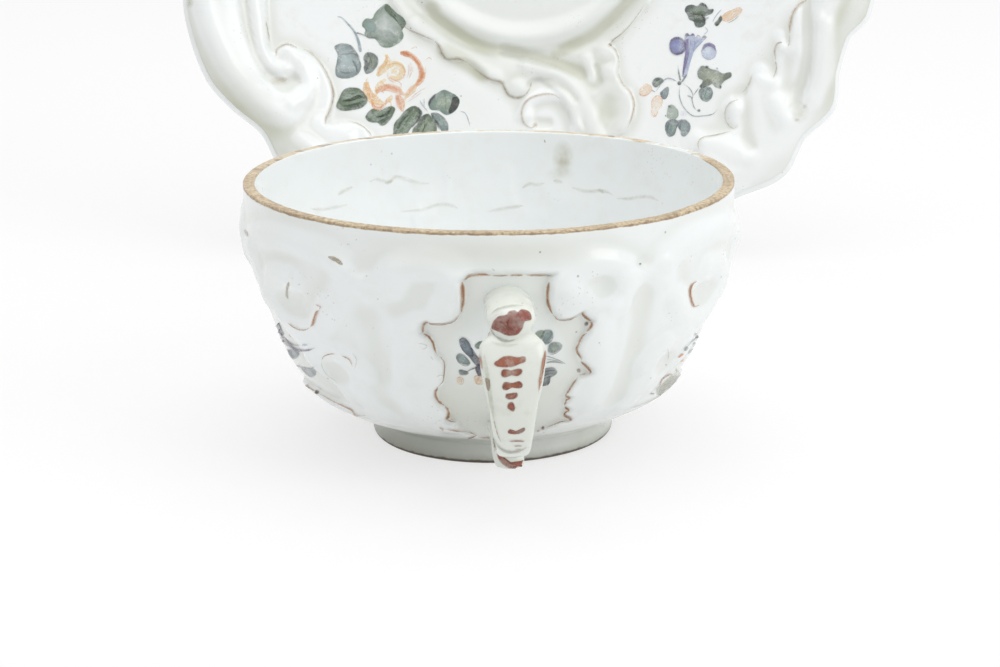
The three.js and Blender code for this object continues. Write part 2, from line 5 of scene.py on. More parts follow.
import bmesh
import bpy
import numpy as np
from mathutils import Matrix, Vector
from mathutils.bvhtree import BVHTree

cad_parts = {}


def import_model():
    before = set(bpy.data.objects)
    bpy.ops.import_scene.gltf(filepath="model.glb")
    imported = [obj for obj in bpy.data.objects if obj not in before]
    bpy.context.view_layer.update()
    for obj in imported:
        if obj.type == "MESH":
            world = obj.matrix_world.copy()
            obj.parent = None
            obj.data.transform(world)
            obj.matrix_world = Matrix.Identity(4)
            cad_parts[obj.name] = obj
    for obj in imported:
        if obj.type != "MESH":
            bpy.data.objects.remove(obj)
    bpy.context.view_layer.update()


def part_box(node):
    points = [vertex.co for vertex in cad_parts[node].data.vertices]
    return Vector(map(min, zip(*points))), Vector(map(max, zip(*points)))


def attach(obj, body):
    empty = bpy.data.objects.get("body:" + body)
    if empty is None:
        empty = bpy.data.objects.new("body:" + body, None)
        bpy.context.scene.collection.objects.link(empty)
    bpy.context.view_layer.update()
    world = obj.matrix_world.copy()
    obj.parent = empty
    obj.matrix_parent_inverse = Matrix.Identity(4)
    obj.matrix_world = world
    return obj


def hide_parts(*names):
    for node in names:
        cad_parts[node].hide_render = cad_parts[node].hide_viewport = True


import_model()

MM = 0.001
TURN = 2 * math.pi

# The camera, fitted to the cup's rim and foot: pixels of a 1000 by 667 picture
PICTURE_WIDTH = 1000
PICTURE_HEIGHT = 667
AIM_PIXEL = (491.4, 314.0)
AIM_HEIGHT = 30 * MM
CAMERA_DISTANCE = 620 * MM
CAMERA_PITCH = math.radians(15.6)
CAMERA_ROLL = math.radians(-0.5)
FOCAL_PIXELS = 2410
SENSOR_WIDTH = 36

# Driving sizes of the cup
RIM_RADIUS = 62 * MM
CUP_HEIGHT = 66 * MM
CUP_WALL = 3.4 * MM
RIM_WALL = 2.9 * MM
CUP_FLOOR = 4.2 * MM
RIM_ROUND = 0.5 * MM
FOOT_HEIGHT = 6.5 * MM
FOOT_RADIUS = 31 * MM
FOOT_WIDTH = 5.5 * MM
FOOT_FILLET = 4.2 * MM
FOOT_OVERLAP = 0.3 * MM
FOOT_UNEVENNESS = 0.12 * MM
CUP_YAW = math.radians(4)
HANDLE_YAW = math.radians(3.45)
BOWL_HEIGHT_SHARES = (0.106, 0.136, 0.174, 0.22, 0.333, 0.485, 0.667, 0.848, 1.0)
BOWL_RADIUS_SHARES = (0.532, 0.621, 0.685, 0.75, 0.848, 0.913, 0.969, 0.997, 1.0)
UNDERSIDE = FOOT_HEIGHT + FOOT_OVERLAP
WALL_TOP = CUP_HEIGHT - RIM_ROUND
FLOOR_TOP = FOOT_HEIGHT + CUP_FLOOR
FLOOR_CURVE = CUP_HEIGHT * 0.06

# Driving sizes of a handle; widths, thicknesses and drifts are in millimetres
HANDLE_REACH = 20 * MM
SCROLL_OUT_SHARES = (-0.08, 0.08, 0.26, 0.44, 0.58, 0.67, 0.7)
SCROLL_HEIGHT_SHARES = (0.757, 0.762, 0.768, 0.768, 0.758, 0.742, 0.722)
SCROLL_WIDTHS = (10.8, 10.8, 11.2, 11.2, 11.3, 11, 10.2)
SCROLL_THICKNESSES = (6.2, 4.6, 3.8, 3.7, 3.9, 4.1, 4.1)
SCROLL_BOXY = 1.0
SCROLL_CROWN = 0.32
KNOB_OUT_SHARE = 0.66
KNOB_HEIGHT_SHARE = 0.732
KNOB_WIDTH = 9.6
KNOB_THICKNESS = 8.2
KNOB_BOXY = 0.8
STRAP_OUT_SHARES = (0.6, 0.72, 0.84, 0.95, 1.06, 1.13, 1.13, 1.06, 0.95, 0.82, 0.72)
STRAP_HEIGHT_SHARES = (0.7, 0.685, 0.66, 0.615, 0.55, 0.46, 0.37, 0.3, 0.25, 0.222, 0.21)
STRAP_WIDTHS = (9.2, 11.4, 15, 14.9, 13.7, 11.2, 9.8, 8.8, 8.2, 7.4, 5)
STRAP_THICKNESSES = (3.4, 3.6, 3.8, 4, 3.9, 3.8, 3.8, 3.8, 3.8, 3.4, 2.2)
STRAP_BOXY = 0.62
STRAP_CROWN = 0.08
STRAP_DRIFT = 1.1
LEAF_OUT_SHARES = (-0.17, 0.19, 0.55, 0.85, 1.1)
LEAF_HEIGHT_SHARES = (0.235, 0.232, 0.205, 0.168, 0.13)
LEAF_WIDTHS = (8.6, 7.8, 7.6, 7.4, 6.4)
LEAF_THICKNESSES = (5.6, 4, 3.2, 3, 2.8)
LEAF_BOXY = 0.8
LEAF_CROWN = 0.15
LEAF_DRIFT = 0.5

# Driving sizes of the saucer
SAUCER_RADIUS = 118 * MM
SAUCER_DEPTH = 22 * MM
SAUCER_THICKNESS = 4.6 * MM
SAUCER_LEAN = math.radians(12)
SAUCER_FOOT_RADIUS = 46 * MM
SAUCER_FOOT_WIDTH = 6 * MM
SAUCER_FOOT_HEIGHT = 5 * MM
SAUCER_FOOT_OVERLAP = 0.5 * MM
WELL_RADIUS = 35 * MM
FOLD_RADIUS = 46 * MM
EDGE_ANGLES = (180, 190, 199, 208, 214, 220, 226, 236, 246, 254, 262, 270, 278, 288, 297, 305,
               314, 320, 326, 332, 337, 342, 350, 360)
EDGE_RADIUS_SHARES = (0.985, 0.97, 0.992, 1.004, 0.987, 0.964, 0.99, 1.01, 0.995, 0.98, 0.99, 0.98,
                      0.99, 0.985, 0.985, 0.996, 1.037, 1.01, 1.028, 0.985, 0.972, 1.003, 0.998, 0.985)

# Where the pair stands
foot_low, foot_high = (Vector(corner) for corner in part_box("cup_foot_ring"))
CUP_AXIS = Vector(((foot_low.x + foot_high.x) / 2, (foot_low.y + foot_high.y) / 2, 0))
SAUCER_SET_BACK = 163 * MM
SAUCER_SIDE_STEP = 12 * MM
SAUCER_CENTRE_HEIGHT = 115 * MM
SAUCER_CENTRE = Vector((
    CUP_AXIS.x + SAUCER_SIDE_STEP,
    CUP_AXIS.y + SAUCER_SET_BACK + SAUCER_RADIUS * math.sin(SAUCER_LEAN),
    SAUCER_CENTRE_HEIGHT,
))
SAUCER_RIGHT = Vector((1, 0, 0))
SAUCER_UP = Vector((0, math.sin(SAUCER_LEAN), math.cos(SAUCER_LEAN)))
SAUCER_OUT = SAUCER_RIGHT.cross(SAUCER_UP)


# Numbers and lines

LEAST_SQUARE = 1e-18


def between(knots, values, at):
    """A smooth curve through given knots, level at each hump and hollow."""
    knots = np.asarray(knots, float)
    values = np.asarray(values, float)
    at = np.clip(at, knots[0], knots[-1])
    here = np.clip(np.searchsorted(knots, at, side="right") - 1, 0, len(knots) - 2)
    spans = np.diff(knots)
    rises = np.diff(values) / spans
    slopes = np.zeros(len(knots))
    same = rises[:-1] * rises[1:] > 0
    total = np.where(same, rises[:-1] + rises[1:], 1)
    slopes[1:-1] = np.where(same, 2 * rises[:-1] * rises[1:] / total, 0)
    span = spans[here]
    part = (at - knots[here]) / span
    square = part * part
    cube = square * part
    return (values[here] * (2 * cube - 3 * square + 1)
            + slopes[here] * span * (cube - 2 * square + part)
            + values[here + 1] * (3 * square - 2 * cube)
            + slopes[here + 1] * span * (cube - square))


def soft_step(start, end, value):
    """0 before start and 1 past end, with a smooth way between them."""
    part = np.clip((value - start) / (end - start), 0, 1)
    return part * part * (3 - 2 * part)


def hump(gap, reach):
    """A soft rounded hump, 1 on the line and 0 past its reach."""
    part = np.clip(gap / reach, 0, 1)
    return (1 - part * part) ** 2


def smooth_line(points, pieces=5, closed=False):
    """A smooth line that passes through its points, with a set number of pieces to each stretch."""
    points = np.asarray(points, float)
    if closed:
        padded = np.vstack([points[-1], points, points[0], points[1]])
    else:
        padded = np.vstack([2 * points[0] - points[1], points, 2 * points[-1] - points[-2]])
    shares = np.linspace(0, 1, pieces, endpoint=False)[:, None]
    parts = []
    for before, a, b, after in zip(padded, padded[1:], padded[2:], padded[3:]):
        bend = 2 * before - 5 * a + 4 * b - after
        twist = -before + 3 * a - 3 * b + after
        parts.append((2 * a + (b - before) * shares + bend * shares ** 2 + twist * shares ** 3) / 2)
    if not closed:
        parts.append(points[-1:])
    return np.vstack(parts)


def gap_to_line(places, line):
    """How far each place lies from an open line, on a flat map."""
    best = np.full(len(places), np.inf)
    for a, b in zip(line[:-1], line[1:]):
        along = b - a
        share = np.clip((places - a) @ along / max(along @ along, LEAST_SQUARE), 0, 1)
        best = np.minimum(best, np.linalg.norm(places - a - share[:, None] * along, axis=1))
    return best


def depth_inside(places, outline):
    """How far each place lies inside a closed outline; less than nothing outside it."""
    gap = gap_to_line(places, np.vstack([outline, outline[:1]]))
    inside = np.zeros(len(places), bool)
    for a, b in zip(outline, np.roll(outline, -1, axis=0)):
        crosses = (a[1] > places[:, 1]) != (b[1] > places[:, 1])
        rise = b[1] - a[1] if b[1] != a[1] else 1
        inside ^= crosses & (places[:, 0] < a[0] + (places[:, 1] - a[1]) / rise * (b[0] - a[0]))
    return np.where(inside, gap, -gap)


def turn_angles(count):
    """Angles spread evenly round a whole turn."""
    return np.linspace(0, TURN, count, endpoint=False)


# The photograph's rays

def camera_axes():
    """The camera's right, up and forward."""
    forward = Vector((0, math.cos(CAMERA_PITCH), -math.sin(CAMERA_PITCH)))
    up = Vector((0, math.sin(CAMERA_PITCH), math.cos(CAMERA_PITCH)))
    return Vector((1, 0, 0)), up, forward


def camera_place():
    return CUP_AXIS + Vector((0, 0, AIM_HEIGHT)) - camera_axes()[2] * CAMERA_DISTANCE


def pixel_rays(pixels):
    """The camera's place, and one direction for each pixel of the picture."""
    right, up, forward = (np.array(axis) for axis in camera_axes())
    across, down = (np.asarray(pixels, float) - AIM_PIXEL).T
    level = across * math.cos(CAMERA_ROLL) + down * math.sin(CAMERA_ROLL)
    drop = down * math.cos(CAMERA_ROLL) - across * math.sin(CAMERA_ROLL)
    rays = forward + (level[:, None] * right - drop[:, None] * up) / FOCAL_PIXELS
    rays /= np.linalg.norm(rays, axis=1)[:, None]
    return np.tile(np.array(camera_place()), (len(rays), 1)), rays


# The bowl's surface, as a flat map: distance round from a handle, positive to its right, and height

MAP_RADIUS = 56 * MM
RAY_REACH_SHARES = (0.84, 1.1)
RAY_STEPS = 1200


def bowl_radius(height):
    return RIM_RADIUS * between(BOWL_HEIGHT_SHARES, BOWL_RADIUS_SHARES, height / CUP_HEIGHT)


def bowl_map(pixels):
    """Pixels on the bowl as places on its flat map."""
    starts, rays = pixel_rays(pixels)
    starts = starts - np.array(CUP_AXIS)
    reach = np.linspace(*RAY_REACH_SHARES, RAY_STEPS) * CAMERA_DISTANCE
    path = starts[:, None, :] + reach[None, :, None] * rays[:, None, :]
    height = path[:, :, 2]
    outside = np.hypot(path[:, :, 0], path[:, :, 1]) - bowl_radius(height)
    within = (outside < 0) & (height > 0) & (height < CUP_HEIGHT)
    hits = path[np.arange(len(path)), np.argmax(within, axis=1)]
    angle = np.arctan2(hits[:, 0], -hits[:, 1]) - CUP_YAW
    return np.column_stack([angle * MAP_RADIUS, hits[:, 2]])


def bowl_line(places):
    """A smooth line on the bowl's map, from degrees and shares of the cup's height."""
    degrees, shares = np.asarray(places, float).T
    return smooth_line(np.column_stack([np.radians(degrees) * MAP_RADIUS, shares * CUP_HEIGHT]))


# Outline of the panel round the handle, in pixels, clockwise from its top left
PANEL_TOP_PIXELS = ((464.4, 280.1), (468.3, 275.8), (475.9, 274.4), (485.1, 274), (497.4, 275.8),
                    (509.6, 274.9), (524.9, 274.6), (540.2, 275.3), (554.3, 275.5))
PANEL_RIGHT_PIXELS = ((550.2, 281.3), (548.4, 288), (548.2, 296.6), (549.7, 305.8), (553.2, 313.5),
                      (559.3, 319.3), (567.8, 319.8), (574.6, 317.5), (580.4, 313.5))
PANEL_RIGHT_MIDDLE_PIXELS = ((581.5, 311.6), (584.6, 316.5), (591.5, 320.4), (589.2, 324.2),
                             (587.7, 330.3), (585.4, 334.9), (580, 341), (577.3, 348.7), (580.8, 357.9),
                             (583, 363), (589.2, 368.6), (590.4, 372.4), (587.7, 374.2))
PANEL_RIGHT_LOW_PIXELS = ((577.7, 377.8), (571.6, 387), (565.5, 395.4), (570.8, 397.4), (563.9, 405.3),
                          (569.3, 409.9), (563.9, 414.5), (571.6, 418.3), (568.5, 421.1),
                          (560.1, 422.2), (550.9, 426))
PANEL_FOOT_PIXELS = ((537.1, 431.6), (491.2, 437.5), (479, 437.5), (463.7, 431.3), (456.3, 424))
PANEL_LEFT_LOW_PIXELS = ((456.3, 422.5), (450.7, 421.4), (446.5, 419.1), (449.1, 413.7), (446.1, 408.4),
                         (439.9, 404.5), (435.4, 397.7), (436.1, 390.8), (441.5, 384.7), (444.1, 376.2),
                         (444.5, 367), (441.5, 359.4), (436.1, 353.3), (433, 344), (429, 337.5),
                         (422.5, 332.5), (421, 326), (424, 321.5))
PANEL_LEFT_PIXELS = ((424, 321.5), (430, 323.9), (442.2, 324.2), (449.9, 322.7), (456.8, 318.1),
                     (460.6, 310.4), (462.5, 301.2), (462.5, 290.5), (461.4, 281))

# The upper edge of the relief, as degrees from a handle and shares of the cup's height
BROW_ANGLES = (0, 11, 15, 20, 28, 33, 38, 48, 60, 72, 84, 90)
BROW_HEIGHT_SHARES = (0.855, 0.86, 0.89, 0.905, 0.885, 0.84, 0.87, 0.91, 0.925, 0.9, 0.87, 0.865)

# Moulding beside a handle's panel: degrees from the handle and height shares, reach and rise in millimetres
BOWL_RIDGES = (
    (((11.5, 0.8), (12.5, 0.85), (18, 0.878), (24, 0.852), (26.5, 0.79), (25, 0.73)), 5.4, 1.1),
    (((14.5, 0.765), (15.5, 0.755)), 5.6, 0.8),
    (((21, 0.7), (21.5, 0.56), (22.8, 0.44), (22, 0.31)), 5.4, 0.9),
    (((-25.5, 0.79), (-24, 0.86), (-18, 0.885), (-12.5, 0.86), (-12, 0.78), (-13.5, 0.72)), 5.4, 1.1),
    (((-32, 0.81), (-34, 0.78), (-32, 0.75), (-30, 0.78), (-32, 0.81)), 2.6, 0.4),
    (((-28, 0.37), (-22, 0.31), (-17, 0.25)), 6.6, 0.9),
    (((-21.5, 0.66), (-22.5, 0.56), (-25, 0.46)), 5.4, 0.7),
)
BOWL_HOLLOWS = (
    (((21.5, 0.79), (22, 0.77)), 4.6, 0.8),
    (((-21.5, 0.75), (-24, 0.72)), 5.0, 0.6),
    (((32, 0.72), (32, 0.5), (31, 0.32)), 5.0, 0.9),
    (((-32, 0.66), (-31, 0.5), (-30, 0.34)), 5.0, 0.6),
    (((29, 0.845), (31, 0.85)), 2.2, 0.5),
)

# Moulding farther round, the same on both sides
SIDE_RIDGES = (
    (((37, 0.8), (41, 0.66), (42, 0.5), (40, 0.36), (37, 0.26)), 5.6, 0.6),
    (((38, 0.86), (45, 0.9), (56, 0.91), (68, 0.87), (76, 0.8)), 5.2, 0.8),
    (((43, 0.68), (48, 0.58), (56, 0.545), (63, 0.585), (66, 0.66), (62, 0.74), (54, 0.76)), 5.0, 1.1),
    (((72, 0.8), (70, 0.66), (71, 0.52), (66, 0.42), (58, 0.36)), 4.8, 1.0),
    (((36, 0.44), (41, 0.5), (49, 0.5), (54, 0.44), (52, 0.36)), 4.4, 0.9),
    (((34, 0.24), (44, 0.21), (56, 0.215), (70, 0.25), (84, 0.23), (90, 0.22)), 4.4, 0.7),
    (((90, 0.88), (84, 0.84), (82, 0.76), (87, 0.7), (90, 0.695)), 4.2, 1.0),
)
SIDE_HOLLOWS = (
    (((53, 0.665), (57, 0.66)), 4.4, 0.8), (((44, 0.41), (47, 0.4)), 4.2, 0.8),
)

SIDE_PANEL_PLACES = ((56, 0.24), (66, 0.25), (78, 0.26), (90, 0.25), (90, 0.8), (84, 0.76), (78, 0.66),
                     (70, 0.6), (62, 0.5), (58, 0.42), (50, 0.36), (48, 0.28))
SIDE_PANEL = bowl_line(SIDE_PANEL_PLACES)
HANDLE_PANEL = bowl_map(
    PANEL_TOP_PIXELS + PANEL_RIGHT_PIXELS + PANEL_RIGHT_MIDDLE_PIXELS + PANEL_RIGHT_LOW_PIXELS
    + PANEL_FOOT_PIXELS + PANEL_LEFT_LOW_PIXELS + PANEL_LEFT_PIXELS)

# Sizes of the bowl's relief
PANEL_DEPTH = 0.9 * MM
PANEL_EDGE = 1.1 * MM
SIDE_PANEL_CALM = 0.75
BROW_RISE = 0.7 * MM
BROW_EDGE_ABOVE = 1.5 * MM
BROW_EDGE_BELOW = 2.5 * MM
PLAIN_RIM_SHARES = (1, 0.93)
RELIEF_LOW = 11 * MM
RELIEF_LOW_EDGE = 6 * MM
INNER_RELIEF_SHARE = 0.15
HOLLOW_DEPTH = 0.4 * MM

# How far the wall of the hand-made bowl wanders: millimetres, waves round it, waves up it, start
WOBBLES = ((-0.45, 1, 0, 0), (0.1, 2, 0, 1), (0.1, 3, 2, 2), (0.06, 5, -5, 1))

# How far the uneven rim stands over its level, in millimetres, by degrees from the front handle
LIFT_ANGLES = (-180, -110, -67, -42, -7, 12, 25, 38, 50, 90, 180)
LIFTS = (0, 0.35, 0.75, 0.67, 0.65, 0.35, 0.32, 0.12, 0.3, 0.35, 0)
LIFTED_SHARES = (0.45, 1)

# How much of the rim's brown band is left, in degrees from the front handle
WEAR_ANGLES = (0, 40, 90, 101, 107, 118, 129, 133, 137, 150, 172, 185, 200, 215, 232, 250, 275, 310, 360)
WEAR_SHARES = (0.8, 0.95, 0.95, 0.9, 0.3, 0.2, 0.22, 0.5, 0.24, 0.32, 0.22, 0.24, 0.32, 0.26, 0.3, 0.5, 0.95,
               0.95, 0.8)

# How strongly the glaze pools cream on the bowl, and between which shares of its height; also a darker band
# under the rim, and painted shade with pooled cream in the moulding's hollows
PANEL_TINT = 0.72
PANEL_LOW_SHARES = (0.6, 0.36)
UNDER_SCROLL_TINT = 0.2
UNDER_SCROLL_SHARES = (0.66, 0.8)
SIDE_PANEL_TINT = 0.4
SIDE_PANEL_SOFTNESS = 4
NEAR_FOOT_TINT = 0.5
NEAR_FOOT_SHARES = (0.3, 0.1)
UNDER_RIM_TINT = 0.62
UNDER_RIM_SHARE = 0.93
UNDER_RIM_REACH_SHARE = 0.09
UNDER_RIM_TURN = math.radians(4)
UNDER_RIM_REACH = math.radians(48)
BOWL_HOLLOW_CREAM_AND_SHADE = 0.4

# How finely the bowl is cut
CUP_COLUMNS = 480
OUTER_ROWS = 120
OUTER_ROW_POWER = 1.15
RIM_ROWS = 9
RIM_POWER = 0.5
INNER_ROWS = 44
UNDERSIDE_SHARES = (0.45, 0.8)
FLOOR_SHARES = (0.93, 0.84, 0.72, 0.57, 0.4, 0.2, 0.06)
FLOOR_POWER = 3.2
BOWL_LEVELLING = (8, 5)
THIN_WALL_SHARES = (0.7, 1)
THICK_WALL_SHARE = 0.25
FAR_FROM_RIM = 99
RIM_INNER_LEAD = 0.4


def up_cup(shares, height):
    """A soft step between two shares of the cup's height."""
    return soft_step(CUP_HEIGHT * shares[0], CUP_HEIGHT * shares[1], height)


def from_handle(angle):
    """Angles from the nearer handle, less than nothing to its left."""
    return np.remainder(angle + math.pi / 2, math.pi) - math.pi / 2


def bowl_relief(angle, height):
    """How far the moulding stands out from the plain bowl, for flat arrays of angles and heights."""
    across = from_handle(angle) * MAP_RADIUS
    places = np.column_stack([across, height])
    folded = np.column_stack([np.abs(across), height])
    panel = soft_step(-PANEL_EDGE / 2, PANEL_EDGE / 2, depth_inside(places, HANDLE_PANEL))
    side = soft_step(-PANEL_EDGE, PANEL_EDGE, depth_inside(folded, SIDE_PANEL))
    brow = CUP_HEIGHT * between(BROW_ANGLES, BROW_HEIGHT_SHARES, np.degrees(np.abs(from_handle(angle))))
    relief = BROW_RISE * soft_step(brow + BROW_EDGE_ABOVE, brow - BROW_EDGE_BELOW, height)
    for lines, at, way in ((BOWL_RIDGES, places, 1), (BOWL_HOLLOWS, places, -1),
                           (SIDE_RIDGES, folded, 1), (SIDE_HOLLOWS, folded, -1)):
        for line, reach, rise in lines:
            relief += way * rise * MM * hump(gap_to_line(at, bowl_line(line)), reach * MM)
    outside = 1 - np.maximum(panel, side * SIDE_PANEL_CALM)
    relief = relief * outside - PANEL_DEPTH * np.maximum(panel, side)
    plain_foot = soft_step(RELIEF_LOW - RELIEF_LOW_EDGE / 2, RELIEF_LOW + RELIEF_LOW_EDGE / 2, height)
    return relief * up_cup(PLAIN_RIM_SHARES, height) * plain_foot


def bowl_tint(angle, height):
    """Where the glaze pools cream, in the panels, most of all low down, and by the foot; and a darker band
    under the rim.
    """
    half_turn = from_handle(angle)
    places = np.column_stack([half_turn * MAP_RADIUS, height])
    panel = soft_step(-PANEL_EDGE, PANEL_EDGE, depth_inside(places, HANDLE_PANEL))
    side_edge = PANEL_EDGE * SIDE_PANEL_SOFTNESS
    side = soft_step(-side_edge, side_edge, depth_inside(np.abs(places), SIDE_PANEL))
    under_scroll = up_cup(UNDER_SCROLL_SHARES, height) * UNDER_SCROLL_TINT
    panel *= np.maximum(up_cup(PANEL_LOW_SHARES, height), under_scroll) * PANEL_TINT
    foot = up_cup(NEAR_FOOT_SHARES, height) * NEAR_FOOT_TINT
    under_rim = hump(np.abs(height - CUP_HEIGHT * UNDER_RIM_SHARE), CUP_HEIGHT * UNDER_RIM_REACH_SHARE)
    under_rim *= UNDER_RIM_TINT * hump(np.abs(half_turn + UNDER_RIM_TURN), UNDER_RIM_REACH)
    return np.maximum(np.maximum(panel, side * SIDE_PANEL_TINT), np.maximum(foot, under_rim))


def wobble(angle, height):
    """The slight unevenness of a hand-made wall."""
    share = height / CUP_HEIGHT
    return MM * sum(size * np.sin(waves * angle + climb * share + start)
                    for size, waves, climb, start in WOBBLES)


def wall_width(height):
    """The bowl's wall thins towards its rim and thickens into its floor."""
    thick = soft_step(FLOOR_TOP + CUP_HEIGHT * THICK_WALL_SHARE, FLOOR_TOP, height)
    return CUP_WALL * (1 + thick) - (CUP_WALL - RIM_WALL) * up_cup(THIN_WALL_SHARES, height)


def rim_lift(angle):
    degrees = np.degrees(np.remainder(angle + math.pi, TURN) - math.pi)
    return MM * between(LIFT_ANGLES, LIFTS, degrees)


def rim_wear(angle):
    return between(WEAR_ANGLES, WEAR_SHARES, np.degrees(np.remainder(angle, TURN)))


def about_cup(angle, radius, height):
    """World places from angles round the cup, measured from its front handle."""
    turn = angle + CUP_YAW
    return np.column_stack([
        CUP_AXIS.x + radius * np.sin(turn),
        CUP_AXIS.y - radius * np.cos(turn),
        height,
    ])


# Meshes made of rings of points

def plain_mesh(name, points, faces, tidy=True):
    mesh = bpy.data.meshes.new(name)
    mesh.from_pydata(points.tolist(), [], faces)
    if tidy:
        bm = bmesh.new()
        bm.from_mesh(mesh)
        bmesh.ops.recalc_face_normals(bm, faces=bm.faces)
        bm.to_mesh(mesh)
        bm.free()
    mesh.shade_smooth()
    return linked(name, mesh)


def linked(name, data):
    """A new object in the scene."""
    made = bpy.data.objects.new(name, data)
    bpy.context.collection.objects.link(made)
    return made


def ring_mesh(name, rings, capped=True):
    """A closed mesh over rings of equal length: capped at both ends, or joined end to end."""
    count = len(rings[0])
    points = np.vstack(rings)
    bands = len(rings) - 1 if capped else len(rings)
    near = np.arange(bands)[:, None] * count
    far = (np.arange(bands)[:, None] + 1) % len(rings) * count
    here = np.arange(count)[None, :]
    beside = (here + 1) % count
    quads = np.stack([near + here, near + beside, far + beside, far + here], axis=-1).reshape(-1, 4)
    faces = quads.tolist()
    if capped:
        start = len(points)
        last = (len(rings) - 1) * count
        points = np.vstack([points, rings[0].mean(axis=0), rings[-1].mean(axis=0)])
        faces += [(start, (j + 1) % count, j) for j in range(count)]
        faces += [(start + 1, last + j, last + (j + 1) % count) for j in range(count)]
    return plain_mesh(name, points, faces)


def give_values(piece, name, values):
    """One number for each point of a mesh, for its material to read."""
    held = piece.data.attributes.new(name, "FLOAT", "POINT")
    held.data.foreach_set("value", np.asarray(values, np.float32))


def part_of(piece, body, nodes, material):
    """Says what a piece rides on, which CAD nodes it stands for and what it is finished with."""
    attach(piece, body)
    if nodes:
        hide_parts(*nodes)
    piece.data.materials.clear()
    piece.data.materials.append(material)
    return piece


class Rings:
    """Rings of points round a piece, with the values that its material reads at each of them."""

    def __init__(self, count, **usual):
        self.count = count
        self.usual = usual
        self.rings = []
        self.values = {name: [] for name in usual}

    def add(self, points, **values):
        self.rings.append(points)
        for name, usual in self.usual.items():
            self.values[name].append(np.zeros(self.count) + values.get(name, usual))

    def mesh(self, name, **ends):
        """The closed mesh; ends gives the values at the middle points of its first and last ring."""
        piece = ring_mesh(name, self.rings)
        for value, rows in self.values.items():
            give_values(piece, value, np.append(np.concatenate(rows), ends[value]))
        return piece


def softened(grid, reach, axis):
    """A grid of values, each spread over its neighbours along one axis; the columns join end to end."""
    pads = [(reach, reach) if way == axis else (0, 0) for way in (0, 1)]
    wide = np.pad(grid, pads, mode="wrap" if axis else "edge")
    parts = [np.take(wide, range(i, i + grid.shape[axis]), axis) for i in range(2 * reach + 1)]
    return sum(parts) / len(parts)


def hollows(grid, rows, columns):
    """From 0 to 1, how far each point of a grid of relief lies below what is round it."""
    level = softened(softened(grid, rows, 0), columns, 1)
    level = softened(softened(level, rows, 0), columns, 1)
    return np.clip((level - grid) / HOLLOW_DEPTH, 0, 1)


# The bowl and its foot

class BowlRings(Rings):
    """Rings of the bowl, raised as its uneven rim is."""

    def __init__(self):
        super().__init__(CUP_COLUMNS, cream=0, rim=FAR_FROM_RIM, inside=0, band=0)
        self.angles = turn_angles(CUP_COLUMNS)
        self.lift = rim_lift(self.angles)
        self.band = rim_wear(self.angles)

    def ring(self, radius, height, **values):
        level = height + self.lift * up_cup(LIFTED_SHARES, height)
        points = about_cup(self.angles, radius + np.zeros(CUP_COLUMNS), level)
        self.add(points, band=self.band, **values)

    def outer_wall(self):
        heights = UNDERSIDE + (WALL_TOP - UNDERSIDE) * np.linspace(0, 1, OUTER_ROWS) ** OUTER_ROW_POWER
        reliefs = np.array([bowl_relief(self.angles, np.full(CUP_COLUMNS, height)) for height in heights])
        for height, relief, hollow in zip(heights, reliefs, hollows(reliefs, *BOWL_LEVELLING)):
            level = np.full(CUP_COLUMNS, height)
            # Painted shade: the moulding's hollows are tinted darker, along with the cream where the glaze
            # pools there
            cream = np.maximum(bowl_tint(self.angles, level), BOWL_HOLLOW_CREAM_AND_SHADE * hollow)
            radius = bowl_radius(level) + relief + wobble(self.angles, height)
            self.ring(radius, height, cream=cream, rim=(WALL_TOP - height) / MM)

    def rim_top(self):
        middle = RIM_RADIUS - RIM_WALL / 2
        for turn in np.linspace(0, math.pi, RIM_ROWS + 2)[1:-1]:
            across = math.copysign(abs(math.cos(turn)) ** RIM_POWER, math.cos(turn)) * RIM_WALL / 2
            rise = math.sin(turn) ** RIM_POWER
            radius = middle + across + wobble(self.angles, CUP_HEIGHT)
            self.ring(radius, WALL_TOP + RIM_ROUND * rise, rim=-rise)

    def inner_wall(self):
        for height in np.linspace(WALL_TOP, FLOOR_TOP + FLOOR_CURVE, INNER_ROWS):
            level = np.full(CUP_COLUMNS, height)
            relief = bowl_relief(self.angles, level) * INNER_RELIEF_SHARE
            radius = bowl_radius(level) - wall_width(level) + relief + wobble(self.angles, height)
            self.ring(radius, height, rim=(WALL_TOP - height) / MM + RIM_INNER_LEAD, inside=1)
        for share in FLOOR_SHARES:
            self.ring(radius.mean() * share, FLOOR_TOP + FLOOR_CURVE * share ** FLOOR_POWER, inside=1)


def bowl_piece(material):
    bowl = BowlRings()
    for share in UNDERSIDE_SHARES:
        bowl.ring(FOOT_RADIUS * share, UNDERSIDE)
    bowl.outer_wall()
    bowl.rim_top()
    bowl.inner_wall()
    no_rim = (FAR_FROM_RIM, FAR_FROM_RIM)
    piece = bowl.mesh("cup_bowl_glazed", cream=(0, 0), rim=no_rim, inside=(0, 1), band=(0, 0))
    return part_of(piece, "cup", ("cup_bowl",), material)


# How a turned foot wanders: share of its unevenness, waves round it, start
FOOT_WAVES = ((1, 3, 1), (0.6, 7, 0))


def turned_piece(name, centre, right, up, outline, columns):
    """A turned ring from a closed outline of radius and height pairs, about any axis."""
    out = right.cross(up)
    angles = turn_angles(columns)
    outline = smooth_line(outline, closed=True)
    rings = []
    for radius, height in outline:
        around = radius
        for size, waves, start in FOOT_WAVES:
            around = around + FOOT_UNEVENNESS * size * np.sin(waves * angles + start)
        rings.append(np.array(centre) + np.outer(around * np.cos(angles), np.array(right))
                     + np.outer(around * np.sin(angles), np.array(up)) + height * np.array(out))
    piece = ring_mesh(name, rings, capped=False)
    give_values(piece, "rest", np.repeat(outline[:, 1] - outline[:, 1].min(), columns) / MM)
    return piece


CUP_FOOT_COLUMNS = 220
# Painted shade on the cup's foot: none at the first share of its radius on the right, full at the second on
# the left
FOOT_SHADE_SHARES = (0.7, -0.8)

